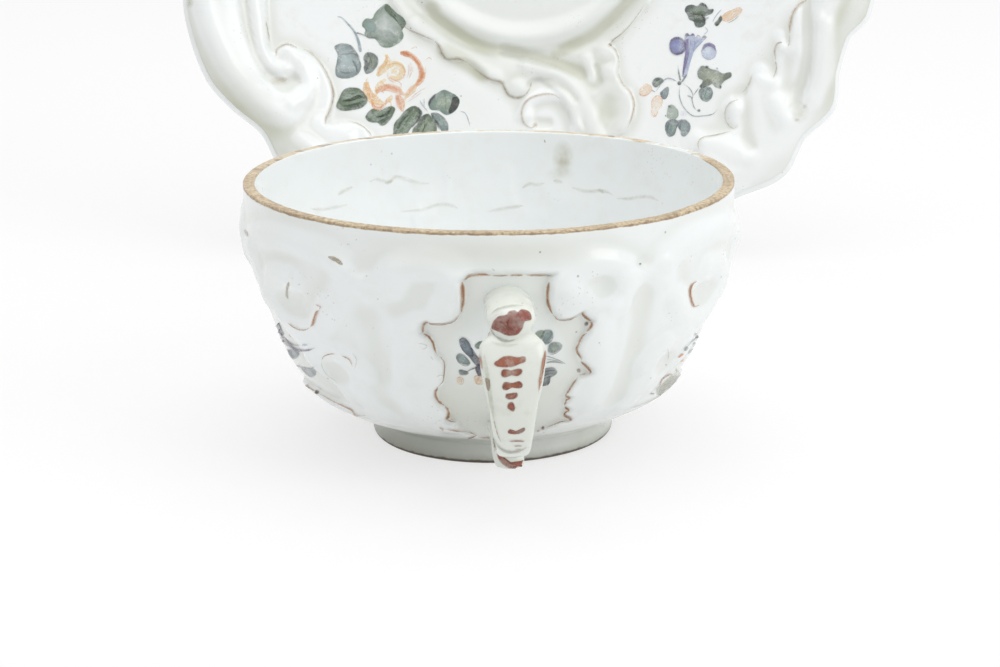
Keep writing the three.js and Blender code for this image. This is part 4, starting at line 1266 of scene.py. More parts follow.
# Brush lines round the handle's panel: pixels, width, colour
WIDE_PANEL_LINES = (
    (((464, 280), (468.5, 276), (474, 275), (483.5, 274.3), (492, 275.3)), 2.6),
    (((509, 275), (516, 274.8), (523.5, 275)), 2.2),
    (((525.5, 275), (538, 274.8), (553.5, 275.4)), 2.0),
    (((461.3, 281.5), (462, 288), (462.3, 296.5), (462, 305), (460.3, 312)), 3.0),
    (((425, 322), (423, 326.5), (422.3, 333.5)), 2.6),
    (((422.3, 333.5), (427.7, 336.5), (432, 342), (434, 348), (436, 354.3)), 2.3),
    (((437.7, 386.5), (435, 392), (435.5, 397), (439, 402), (444, 405.7)), 2.5),
    (((444, 405.7), (447.7, 410.7), (447.7, 415.7), (445.5, 418.5)), 2.4),
    (((549.8, 281.5), (548.4, 288), (547.7, 296.5), (549, 305), (552.7, 313.5)), 2.8),
    (((582, 311.5), (584, 315), (587.7, 318.5), (592, 320.7)), 2.2),
    (((590, 321.5), (592.3, 323.5), (590.5, 328), (587, 331.5)), 2.4),
    (((587.7, 332.8), (582.7, 336.5), (579.5, 343), (577, 349.3), (579.8, 355), (582.7, 359.3)), 2.2),
    (((580.6, 361), (587, 366.5), (590.8, 371.5), (589, 374.3)), 2.2),
    (((578.5, 377), (573.5, 383.5), (570, 389.3), (565.6, 395.7)), 2.2),
    (((565.6, 395.7), (571, 397.8)), 1.8),
    (((571, 397.8), (567, 400), (564.8, 405.7)), 2.0),
    (((564.8, 406.5), (569.8, 410)), 1.8),
    (((569.8, 410), (566.3, 412), (563.7, 414.7)), 2.0),
    (((563.7, 414.7), (566.3, 415.7), (571.3, 419), (568.5, 421)), 2.0),
    (((320.1, 310), (317.3, 312.1), (315.1, 317.9), (313.4, 323.6), (310.9, 327.1)), 2.4),
    (((696.3, 281), (692, 284.3), (689.9, 290), (690.3, 296.4), (692, 302.9), (694.1, 306.4), (699.1, 305)),
      2.2),
)
THIN_PANEL_LINES = (
    ((492, 275.3), (500.5, 275.6), (509, 275)),
    ((460.3, 312), (456.3, 318), (452, 321.5), (446.3, 323.3), (437.7, 324), (430.5, 323.3), (429, 321.5)),
    ((429, 321.5), (425, 322)),
    ((436, 354.3), (441.3, 358.5), (444, 363.5), (443.7, 373.5), (442.7, 380.7), (437.7, 386.5)),
    ((445.5, 418.5), (450, 421.5), (456.3, 422.5)),
    ((439, 426.8), (441.5, 428), (444, 430)),
    ((445.5, 428.5), (459, 430.7), (469, 431.8), (477, 434.3)),
    ((477, 434.3), (473.5, 436.5), (467.5, 438.5)),
    ((479, 437.2), (489, 437.2), (494, 436)),
    ((552.7, 313.5), (557.7, 318.5), (563.5, 319.8), (570.5, 318.5), (578.5, 315)),
    ((586.3, 374.3), (582, 374.8), (579, 375.7)),
    ((568.5, 421), (560.5, 422.2), (552.7, 425), (546, 427.5)),
    ((540, 430), (536.3, 431.5)),
    ((316, 304), (318.5, 305.5), (320.9, 306.7), (320, 309.5)),
    ((310.9, 327.1), (305.9, 329.6), (299.4, 329.3), (293, 326.1), (288, 322.1)),
    ((322.3, 360), (323.7, 356.4), (329.4, 354), (335.9, 353.6)),
    ((340.9, 355), (345.9, 357.1), (350.1, 360), (353, 366.4)),
    ((317, 392), (323.7, 395.7), (333.7, 401.4), (343.7, 405.7), (352.3, 410), (355.9, 415),
     (367.3, 414.7)),
    ((306, 385.5), (312, 389), (317, 392)),
    ((671.7, 373.3), (664.9, 376.4), (661.3, 380), (658.9, 385.7)),
)
FAINT_CUP_LINES = (
    ((322.3, 360), (322, 364.3), (324.4, 370.7), (329.4, 376.4), (335.1, 380), (340.1, 384.7)),
    ((352.3, 352), (356.6, 359.3), (355, 369)),
    ((417.5, 343), (422, 343.3), (427, 345.5), (424, 348.5), (420, 346)),
    ((430, 355.5), (433.5, 359.5)),
    ((436.5, 376.5), (440, 374.8), (444, 375.5)),
    ((491.5, 268.3), (495, 270.7)),
    ((667, 347.1), (668.4, 353.6), (667, 360.7)),
    ((682, 372.1), (672, 385), (657.7, 396.4), (640.6, 404.3), (623.4, 410)),
    ((721.3, 275.4), (719.8, 277.8)),
)
PANEL_DOTS = (
    ((586.3, 323.8), 5.4, UMBER), ((578.5, 370.3), 5.2, SEPIA), ((543, 427.8), 4.4, BROWN),
    # The dark dot at (639.9, 264) is painted shade in the notch at the end of a moulded scroll
    ((317.3, 392), 4.8, UMBER), ((639.9, 264), 2.8, NIGHT), ((652.1, 393.6), (4, 2), SEPIA),
    ((666, 364.7), 2, SLATE), ((366.6, 276), 2, SLATE), ((378, 298.9), 1.8, SEPIA),
    ((373.4, 327.9), 1.6, SLATE), ((299.4, 284.3), 2, SEPIA), ((308, 293.6), 1.6, SEPIA),
    ((468.7, 295), 1.6, SLATE), ((578.9, 281.9), 1.6, SLATE), ((540, 252), 3, SEPIA),
    ((354, 271), 1.6, SEPIA), ((430, 390), 1.4, SEPIA), ((600, 345), 1.4, SEPIA), ((520, 246), 1.4, SEPIA),
    ((404, 262), 1.4, SEPIA), ((612, 300), 1.4, SLATE), ((388, 346), 1.4, SLATE),
)

# Flowers round the handle: outline, border colour, middle colour, cover
CUP_PETALS = (
    (((534, 335), (537, 330.5), (542, 329.3), (545, 331), (543.5, 336), (540.5, 340.5), (536.5, 338.5)),
      DARK_GREEN, GREEN, 0.85),
    (((543, 331), (547, 328.7), (552, 330), (553.7, 334.5), (551, 340), (546.5, 345), (541.5, 342)), SLATE,
      TEAL, 0.8),
    (((547, 349), (549, 343.5), (554.5, 341), (560, 342), (562.7, 345.5), (559, 350.5), (553, 353.5),
      (548, 352.5)), SLATE, SAGE, 0.75),
    (((542, 369), (547, 367), (553, 366.5), (557.5, 370), (556.5, 374), (551, 378), (549.5, 383),
      (545, 385.5), (541, 385)), NIGHT, SLATE, 0.75),
    (((459, 339), (463.5, 337.3), (468, 341), (472, 348.5), (474, 356), (470, 357), (464.5, 352),
      (460, 346)), NIGHT, BLUE_GREY, 0.9),
    (((467, 350), (471, 347), (476, 353), (482, 362), (480, 367), (474, 364), (469, 357)), PLUM, SLATE,
      0.85),
    (((474, 345.5), (477.5, 341.5), (483, 340.5), (488, 342), (485, 347), (479, 349.5), (475.5, 348.5)),
      SLATE, GREEN, 0.85),
    (((455.5, 356), (458, 353), (463, 353.5), (468, 358), (471, 364), (465, 365), (459.5, 363),
      (456.5, 360)), SLATE, TEAL, 0.85),
    (((458, 370.5), (461, 368.8), (466, 370), (469.5, 373), (465.5, 375.5), (460, 375)), NIGHT, SLATE,
      0.85),
    (((475, 366), (480, 363), (485, 367), (485, 374), (479, 376.5), (475.5, 372)), NIGHT, PLUM, 0.85),
    (((456, 380.4), (458, 377), (462, 377.2), (463.8, 380.8), (461.5, 384), (457.5, 383.6)), PEACH, PEACH,
      0.5),
    (((473.2, 379), (475.5, 375.5), (480.5, 375.8), (484, 379.5), (481.5, 384), (476, 384)), PEACH, PEACH,
      0.6),
    (((287, 349), (292, 349), (298, 351), (300, 353.5), (297, 358.5), (292.5, 359), (289, 355)), PLUM,
      BLUE_GREY, 0.6),
    (((301, 368.5), (308, 369), (315, 369), (316.5, 374), (312.5, 377.5), (307.5, 375.5)), PLUM, BLUE_GREY,
      0.6),
    (((285.5, 292), (286.5, 285), (289, 281.5), (289.7, 285), (288, 291), (288.5, 299), (286, 297)), OLIVE,
      SEPIA, 0.6),
    # The next patch is painted shade in the notch at the end of a moulded scroll, not a petal
    (((327.5, 256.5), (332, 255.8), (337, 257.3), (341, 260.5), (343.3, 264.5), (340.5, 265.3),
      (336, 262.5), (331, 260)), SEPIA, OLIVE, 0.8),
)
CUP_STROKES = (
    (((459, 339.5), (463.5, 337.5), (468, 341), (472.5, 349)), 1.3, NIGHT),
    (((461.5, 343), (463.5, 341.3), (465.5, 344), (466, 347.5), (463.5, 346)), 1.0, NIGHT),
    (((459.5, 344), (464, 351), (470, 357), (477, 365)), 1.2, NIGHT),
    (((466, 371.5), (472, 368.5), (478, 366)), 1.8, NIGHT),
    (((456, 357), (459, 362), (465, 365.3), (471, 364)), 1.2, NIGHT),
    (((553.7, 334.5), (551.5, 340), (547, 344.5)), 1.2, NIGHT),
    (((562.7, 345.5), (559, 350.5), (553, 353.8), (547.5, 353)), 1.0, SLATE),
    (((545, 343), (552, 333)), 0.8, SLATE),
    (((544, 355), (551, 357), (559, 360), (566, 363.5)), 1.1, SLATE),
    (((544.5, 358), (552, 359.5), (560, 361)), 0.9, SLATE),
    (((545, 363), (549, 361.6), (556, 361.6), (566, 363.2)), 1.8, NIGHT),
    (((543, 372), (549, 370), (556, 370)), 0.9, NIGHT),
    (((542, 376), (548, 373.5), (554, 373)), 0.9, NIGHT),
    (((542, 380), (547, 377), (551, 376)), 0.9, NIGHT),
    (((542, 385), (547.5, 384.5), (550, 380)), 1.2, NIGHT),
    (((456, 380.4), (458, 377), (462, 377.2), (463.8, 380.8), (461.5, 384), (457.5, 383.6)), 0.9, PINK),
    (((473.2, 379), (475.5, 375.5), (480.5, 375.8), (484, 379.5), (481.5, 384), (476, 384)), 0.9, PINK),
    (((476, 384), (477.5, 379), (481, 376)), 0.8, PINK),
    (((265.1, 306.4), (268.7, 316.4), (275.1, 326.4), (282.3, 336.4), (290.9, 343.6), (300.1, 345.7)), 2.4,
      PLUM),
    (((280.9, 339.3), (290.9, 346.4), (299.4, 350), (308, 350), (315.9, 347.1)), 2.6, PLUM),
    (((262, 302), (267, 316), (276, 331), (284, 341)), 1.4, BLUE_GREY),
    (((302, 345), (308, 344.5)), 3, PALE_BLUE),
    (((296.6, 365.7), (305.1, 367.9), (312.3, 367.9), (315.9, 364.7)), 1.6, PLUM),
    (((244.8, 229.5), (246.5, 233), (248, 236.5)), 2.0, SEPIA),
    (((707.4, 322), (706.5, 327), (704.9, 330.7)), 1.3, ORANGE),
    (((703.4, 333.6), (693.4, 340), (686.3, 346.4)), 1.3, BLUE_GREY),
    (((703.4, 334.3), (694.1, 346.4), (687.7, 353.6)), 2.2, BLUE_GREY),
    (((702.7, 335.7), (696.3, 346.4), (689.9, 355), (686.3, 361.4)), 1.7, TEAL),
    (((687, 346), (684, 350.5)), 3.4, SLATE),
    (((683.4, 352.9), (680.5, 355.5), (677.7, 357.6)), 2.6, ORANGE),
    (((684.1, 358.6), (680.3, 362.1)), 1.6, ORANGE),
)

# Painting on the handle: outline, border colour, middle colour
HANDLE_PATCHES = (
    (((491.3, 326.9), (493.4, 321.1), (498.4, 316.1), (505.6, 314.7), (509.1, 311.1), (514.9, 310),
      (517.7, 311.9), (521.3, 309.4), (527, 310.4), (530.6, 313.3), (531.7, 318.3), (530, 320.5),
      (525.6, 321.4), (523.8, 325.4), (522.7, 329), (517.7, 334.7), (512, 336.1), (504.9, 335.1),
      (498.4, 331.9), (492.7, 329.4)), rgb(148, 80, 64), rgb(136, 70, 56)),
    (((493.4, 363.3), (497.7, 359.7), (503.4, 356.1), (510.6, 355.4), (517.7, 356.9), (525.6, 356.4),
      (525.8, 361.9), (520.6, 364), (513.4, 367.3), (504.9, 367.8), (496.3, 366.6)), rgb(152, 80, 54),
      rgb(174, 104, 78)),
    (((501, 376), (500.9, 371), (504, 368.8), (511, 369.6), (518, 368.3), (522.3, 369.3), (522.6, 373),
      (518, 376.3), (511, 376), (505, 377.8)), DEEP_RED, rgb(168, 96, 60)),
    (((502, 389), (501.9, 384), (505, 381.5), (512, 382.3), (519, 380.8), (522.8, 383), (523, 387),
      (519, 388.7), (512, 388.3), (506, 390.6)), DEEP_RED, rgb(168, 96, 60)),
    (((505.3, 398.3), (505.3, 394), (509, 393), (514, 392.2), (518, 392.7), (517.8, 397), (514, 399.5),
      (509, 400)), DEEP_RED, rgb(160, 88, 58)),
    (((506.9, 408), (507.3, 403.5), (511, 401.3), (514, 403), (515.6, 408), (513.5, 412), (510, 410.5)),
      DEEP_RED, rgb(160, 88, 62)),
    (((507.3, 432.6), (509, 428.8), (513, 430.2), (519, 430.2), (524.5, 427), (525.3, 430.5), (519.5, 434),
      (512, 434.3)), DEEP_RED, RED_BROWN),
    (((485, 378.5), (489.5, 379), (490.6, 386), (489.3, 391), (487, 389)), SEPIA, SEPIA),
    (((496.3, 452), (498.4, 459.7), (503.4, 465.4), (509.9, 468.6), (517.7, 469), (524.9, 466.1),
      (527.4, 460.4), (522.5, 461), (516.5, 464.2), (509.5, 464.6), (505.5, 460), (499.5, 455.5)),
      RED_BROWN, RED_BROWN),
)
# Painted shade in the handle's creases and along its strap's left edge, where the glaze also pools grey:
# pixels, widths, colour, cover
HANDLE_CREASE_SHADES = (
    (((491, 328), (495, 335.5), (503, 340.5), (511, 341), (519, 338)), (1.4, 3.2, 4.6, 3.4, 1.2),
      rgb(118, 122, 104), 0.55),
    (((490, 341), (497, 344), (508, 345.5), (519, 344.5)), (1.6, 4, 5, 2), rgb(176, 178, 162), 0.2),
    (((490, 316), (496, 310.5), (504, 307.5), (514, 306), (524, 306)), (1, 2.2, 2.4, 2, 1),
      rgb(170, 172, 156), 0.45),
    (((484, 354), (487, 372), (490.5, 396), (495, 424)), (3, 5, 5, 2), rgb(186, 188, 170), 0.35),
    (((494, 438), (500, 447.5), (508, 451.5), (518, 451), (527, 446.5)), (1.2, 2.4, 3, 2.4, 1),
      rgb(132, 134, 116), 0.55),
)
HANDLE_STROKES = (
    (((487.5, 323), (488.5, 330), (489, 337)), (1, 2.6, 2.2, 0.8), RED_BROWN),
    (((479.8, 353), (481.2, 361), (483, 370)), (2, 3.4, 1.6), rgb(186, 124, 94)),
    (((545, 350), (543.2, 362), (540.5, 378), (538.3, 392)), (1.5, 4, 4.4, 1.6), rgb(188, 130, 100)),
    (((545.5, 352), (543.8, 364), (541.5, 377)), 1.2, BROWN),
    (((508.9, 441), (516.3, 440.6), (525.1, 440.9)), 2.2, RED_BROWN),
    (((513.4, 445.7), (518, 445.4), (522.7, 445.4)), 1.3, RED_BROWN),
    (((515, 449), (521, 448.2)), 1.0, RED_BROWN),
    (((494.1, 419.7), (495.6, 425.4), (498.4, 435.4), (502, 442.6)), 1.2, SEPIA),
    (((493.2, 433.5), (493.7, 441), (496, 451)), (2.6, 1.6, 1.8), BROWN),
    (((500, 321), (506, 326), (510, 332)), 1.4, DEEP_RED),
    (((510, 318), (507.5, 323), (509.5, 328), (515, 331)), 1.6, DEEP_RED),
)

# Inside the bowl: brown lines in the glaze
CRACK_LINES = (
    ((337.4, 195.1), (344, 190.5), (353.2, 187.2)),
    ((369, 182), (376.8, 179.3), (388.7, 182), (395.3, 176.7), (405.8, 179.3), (419, 182.7),
     (429.5, 183.8)),
    ((385, 184), (392, 180.5)),
    ((309.7, 208.3), (320, 209.5), (329.5, 208.3), (347.9, 204.3)),
    ((400.5, 211.7), (421.6, 209.6), (437.4, 204.8), (450.5, 204.8), (458.4, 209.1)),
    ((487.4, 211.7), (508.4, 207.7), (524.2, 205.6)),
    ((521.6, 188.5), (529.5, 183.8), (537.4, 184.6), (545.3, 183)),
    ((553, 180.6), (563.7, 182)),
    ((571.6, 187.2), (582, 190.6), (592.6, 191.2), (603.2, 190.6), (613.7, 195.1)),
    ((616.3, 198.5), (629.5, 198.5), (640, 197), (650.5, 197), (659.7, 201.2)),
    ((598, 189), (605, 193)),
)
STAIN_DOTS = (
    ((563, 158), (24, 40), 0.42), ((563.5, 163), (15, 13), 0.28), ((560, 174), (30, 16), 0.2),
)

# Brush lines on the saucer
COLLAR_LINES = (
    (((400, 24), (406.6, 28.2), (411.6, 30.7), (423.2, 35.7), (434.8, 40.6)), 1.2, SEPIA),
    (((434.8, 40.6), (438.9, 45.6), (443.1, 54.7), (448, 58.9), (459.7, 58.9), (467.9, 63)), 2.0, SEPIA),
    (((467.9, 63), (477.9, 71.3), (489.5, 78.8), (501.1, 82), (504.8, 88), (509, 95), (516.9, 97.6),
      (524.5, 95), (529.8, 88)), 2.0, SEPIA),
    (((529.8, 88), (531, 82)), 1.0, SEPIA),
    (((560.8, 98.5), (552.5, 94.5), (542.6, 94.5), (531, 98), (524.3, 104.5), (521.8, 114.4),
      (524.3, 123.5), (531, 128), (536, 125)), 1.6, rgb(176, 140, 122)),
    (((645, 4), (632, 22), (622, 33), (613, 40), (609.5, 45)), 1.0, SEPIA),
    (((608.5, 43.5), (611.5, 46.5)), 2.4, BROWN),
    (((611.5, 46.5), (615.5, 51), (618.5, 60), (618.3, 73)), 1.0, SEPIA),
    (((618.3, 73), (622.2, 82.9), (630.5, 92.9), (633.8, 104.5), (631.3, 117.7), (627.1, 127.7)), 1.4,
      PINK),
    (((265.5, 20), (266.5, 26), (268, 34), (269, 42)), 1.0, SEPIA),
    (((276, 57), (276.5, 51), (281, 46.5), (288, 44.5), (297, 48)), 1.6, rgb(184, 160, 148)),
    (((303, 49.5), (310, 52), (318, 60), (326, 73), (331, 85), (332.5, 95)), 1.3, rgb(196, 176, 166)),
    (((330, 80), (333, 90), (333, 98), (330.5, 108), (326, 118), (325, 124)), 1.8, rgb(190, 164, 152)),
    (((345, 120), (358, 124), (367, 130), (372, 137)), 0.9, OLIVE),
    (((806.8, 0), (799.1, 5.2), (793.1, 13.8), (790.5, 25.8), (790, 34)), 2.0, rgb(196, 150, 110)),
    (((790, 34), (789.6, 43), (787.9, 47.4)), 1.0, SEPIA),
    (((782.7, 42.2), (777.6, 43.9), (775, 49.9), (775.8, 60.3)), 1.4, rgb(190, 150, 132)),
    (((775.8, 60.3), (776.7, 68.9), (773.3, 78.4)), 1.0, SEPIA),
    (((752, 74), (750, 82.7), (743.1, 93)), 1.2, rgb(206, 188, 160)),
    (((738.8, 99.9), (730.2, 103.3), (725.9, 110.2), (725.9, 120.5), (731.9, 128.3), (737.1, 127.4)), 1.0,
      OLIVE),
    (((730.2, 131.7), (716.4, 135.2), (702.7, 137.8), (698.4, 142.9), (699.2, 149.8)), 1.0, OLIVE),
)

# The sprays on the saucer: outline, border colour, middle colour, cover
SAUCER_PATCHES = (
    (((362.2, 21.7), (365.6, 18.3), (371.7, 18.3), (375, 12.2), (380.6, 6.7), (386.7, 3.3), (391.7, 7.8),
      (396.1, 12.2), (402.8, 16.7), (406.7, 23.3), (402.8, 30), (404.1, 35.6), (401.7, 41.1), (395, 46.1),
      (387.2, 48.3), (380.6, 46.7), (377.2, 42.2), (373.9, 38.9), (368.3, 38.3), (363.9, 34.4), (365, 30),
      (361.7, 26.1)), rgb(116, 138, 118), rgb(206, 214, 210), 0.86),
    (((384, 8), (387, 4), (392, 8), (397, 13), (403.5, 18), (406.4, 23.5), (402.5, 29), (398.5, 24),
      (394, 19), (388, 14)), DARK_GREEN, GREEN, 0.75),
    (((364, 22), (370, 20), (376, 24), (376, 31), (369, 33), (364, 29)), TEAL, rgb(176, 198, 194), 0.5),
    (((366, 35), (374, 30), (383, 29), (392, 32), (398, 40), (390, 45), (381, 42), (374, 38)),
      rgb(112, 120, 116), rgb(150, 150, 156), 0.5),
    (((333.9, 46.7), (339.4, 43.3), (346.1, 43.3), (351.7, 46.7), (356.1, 53.3), (359.4, 57.8),
      (361.7, 65.6), (359.4, 73.3), (352.8, 77.8), (343.9, 79.1), (336.1, 76.7), (335, 68.9), (336.1, 62.2),
      (337.2, 54.4)), rgb(118, 134, 134), rgb(188, 204, 204), 0.84),
    (((362.8, 57.8), (366.1, 52.2), (371.7, 52.2), (377.2, 55.6), (378.9, 61.1), (377.2, 66.7),
      (372.8, 72.2), (366.1, 74.4), (363.3, 68.9), (363.9, 63.3)), SLATE, rgb(136, 144, 122), 0.88),
    (((335.6, 106.7), (338.3, 98.9), (342.8, 90), (349.4, 87.2), (358.3, 87.8), (363.9, 92.2),
      (367.8, 97.8), (367.2, 103.3), (361.7, 108.3), (352.8, 110.6), (341.7, 111.1)), DARK_GREEN, GREEN,
      0.92),
    (((365, 116.7), (369.4, 110), (375, 108.3), (380.6, 110), (387.2, 106.7), (392.8, 106.1),
      (395.6, 108.9), (393.9, 114.4), (390.6, 120), (385, 125.6), (380.6, 126.1), (377.2, 123.3),
      (371.7, 122.8), (367.2, 121.1)), DARK_GREEN, GREEN, 0.9),
    (((392.8, 132.2), (393.9, 123.3), (399.4, 116.7), (405, 110), (412.8, 105.6), (418.3, 107.2),
      (420.6, 113.3), (419.4, 120), (413.9, 125.6), (409.4, 131.1), (403, 142), (393, 143)), DARK_GREEN,
      GREEN, 0.9),
    (((411.7, 131.1), (417.2, 123.3), (422.8, 115.6), (428.3, 113.3), (432.8, 117.8), (436.1, 123.3),
      (437.2, 131.1), (432, 142), (415, 142)), DARK_GREEN, rgb(148, 164, 138), 0.88),
    (((430.6, 113.3), (436.1, 112.2), (442.8, 115.6), (447.2, 121.1), (448.9, 127.8), (446, 138),
      (437.2, 124.4), (433.9, 120)), SLATE, TEAL, 0.88),
    (((427.8, 104.4), (430.6, 98.9), (436.1, 93.3), (443.9, 89.4), (451.7, 92.2), (458.3, 96.7),
      (460, 102.2), (457.2, 108.9), (452.8, 113.3), (446.1, 115.6), (438.3, 111.1), (430.6, 110)),
      rgb(104, 130, 130), rgb(156, 172, 146), 0.9),
    (((450.6, 103.3), (452.8, 96.7), (457.8, 97.2), (460, 102.2), (456.7, 109.4), (451.7, 113.3),
      (448.3, 112.2)), rgb(66, 66, 64), rgb(84, 82, 78), 0.9),
    (((400.6, 51.5), (407, 51.5), (411, 55), (409, 57.5), (403, 56)), ORANGE, ORANGE, 0.7),
    (((684.4, 10), (686.7, 5.6), (692.2, 4.4), (697.8, 5.6), (701.1, 2.2), (706.7, 5), (707.8, 8.9),
      (713.9, 8.9), (712.8, 13.3), (707.8, 15.6), (705, 17.8), (705.6, 24.4), (701.1, 27.8), (695.6, 27.2),
      (693.3, 22.2), (688.9, 20), (687.2, 15.6)), SLATE, rgb(124, 136, 112), 0.9),
    (((684.5, 10), (687, 5.5), (693, 4.5), (696, 8), (691, 11.5), (686, 12.8)), rgb(56, 60, 56), DARK_GREEN,
      0.9),
    (((694, 21), (698, 19), (704, 21), (704, 25.5), (700, 27.8), (695.5, 26.5)), TEAL, TEAL, 0.7),
    (((721.1, 16.7), (725.6, 12.2), (733.3, 8.9), (739.4, 6.7), (742.8, 9.4), (741.1, 13.3), (734.4, 18.3),
      (727.8, 22.2), (722.2, 21.1)), rgb(240, 194, 150), rgb(247, 220, 184), 0.62),
    (((713.9, 23.9), (717.8, 18.9), (721.1, 15), (722.6, 20), (720, 24), (716.7, 26.7)), rgb(78, 82, 72),
      DARK_GREEN, 0.9),
    (((684.4, 37.8), (690, 34.4), (696.7, 36.7), (703.3, 37.8), (706.7, 37.8), (701.1, 43.3), (695.6, 48.9),
      (692.2, 57.8), (690, 64.4), (687.8, 73.3), (685.6, 77.8), (682.2, 76.7), (683.3, 68.9), (684.4, 60),
      (684.4, 50)), rgb(190, 196, 222), rgb(208, 216, 236), 0.74),
    (((668.9, 46.1), (671.3, 40.2), (677.2, 37.8), (683.1, 40.2), (685.5, 46.1), (683.1, 52), (677.2, 54.4),
      (671.3, 52)), rgb(122, 116, 160), rgb(150, 162, 212), 0.8),
    (((700.8, 51.7), (703.2, 46), (708.9, 43.6), (714.6, 46), (717, 51.7), (714.6, 57.4), (708.9, 59.8),
      (703.2, 57.4)), rgb(194, 200, 226), rgb(206, 220, 240), 0.72),
    (((697.2, 71.1), (701.1, 65.6), (706.7, 66.7), (712.2, 68.9), (717.8, 70), (723.3, 73.3), (731.1, 72.2),
      (731.7, 76.7), (726.7, 80), (722.2, 84.4), (721.1, 88.9), (715.6, 87.8), (712.2, 84.4), (707.8, 86.7),
      (701.1, 87.8), (702.2, 81.1), (697.8, 77.8)), rgb(128, 138, 130), rgb(172, 178, 152), 0.82),
    (((699, 87), (703, 81), (709, 78.5), (712, 82), (707, 86), (703, 88.5)), rgb(84, 84, 80), SLATE, 0.85),
    (((722, 77), (726, 72.5), (731, 72.5), (731.5, 77), (727, 80), (723.5, 80.5)), rgb(88, 88, 84), SLATE,
      0.85),
    (((698.3, 91.1), (702.2, 86.7), (710, 86.7), (713.3, 91.1), (712.2, 97.8), (707.8, 102.2),
      (702.2, 101.1), (698.9, 96.7)), SLATE, TEAL, 0.85),
    (((651.7, 82.2), (655, 77.8), (660.6, 77.2), (663.9, 80), (661.1, 84.4), (656.7, 87.8), (653.3, 86.7)),
      NIGHT, GREEN, 0.85),
    (((659.4, 93.3), (663.3, 88.9), (667.8, 86.1), (669.4, 89.4), (668.3, 95.6), (665.6, 99.4),
      (662.2, 98.9)), SLATE, BLUE_GREY, 0.85),
    (((638.3, 91.1), (641.1, 86.7), (646.7, 83.3), (651.7, 85.6), (652.2, 91.1), (646.7, 95.6),
      (641.1, 95.6)), rgb(242, 206, 170), rgb(249, 228, 204), 0.55),
    (((651.1, 108.9), (652.2, 100), (656.7, 95.6), (662.2, 97.8), (662.8, 104.4), (658.9, 110),
      (655.6, 116.7), (651.7, 114.4)), rgb(244, 212, 178), rgb(250, 236, 218), 0.45),
    (((667.8, 106.7), (672.2, 104.4), (677.8, 108.9), (678.9, 115.6), (674.4, 120), (666.7, 117.8)), SAGE,
      rgb(182, 194, 186), 0.75),
    (((664.4, 125.6), (667.8, 120), (674.4, 118.9), (678.9, 122.2), (676.7, 130), (674.4, 135.6),
      (668.9, 137.2), (665.6, 133.3)), SLATE, TEAL, 0.88),
    (((677.8, 122.2), (684.4, 118.9), (690, 123.3), (690.6, 130), (685.6, 136.7), (681.1, 136.1),
      (680.6, 131.1), (677.8, 127.8)), SLATE, rgb(162, 178, 184), 0.85),
)
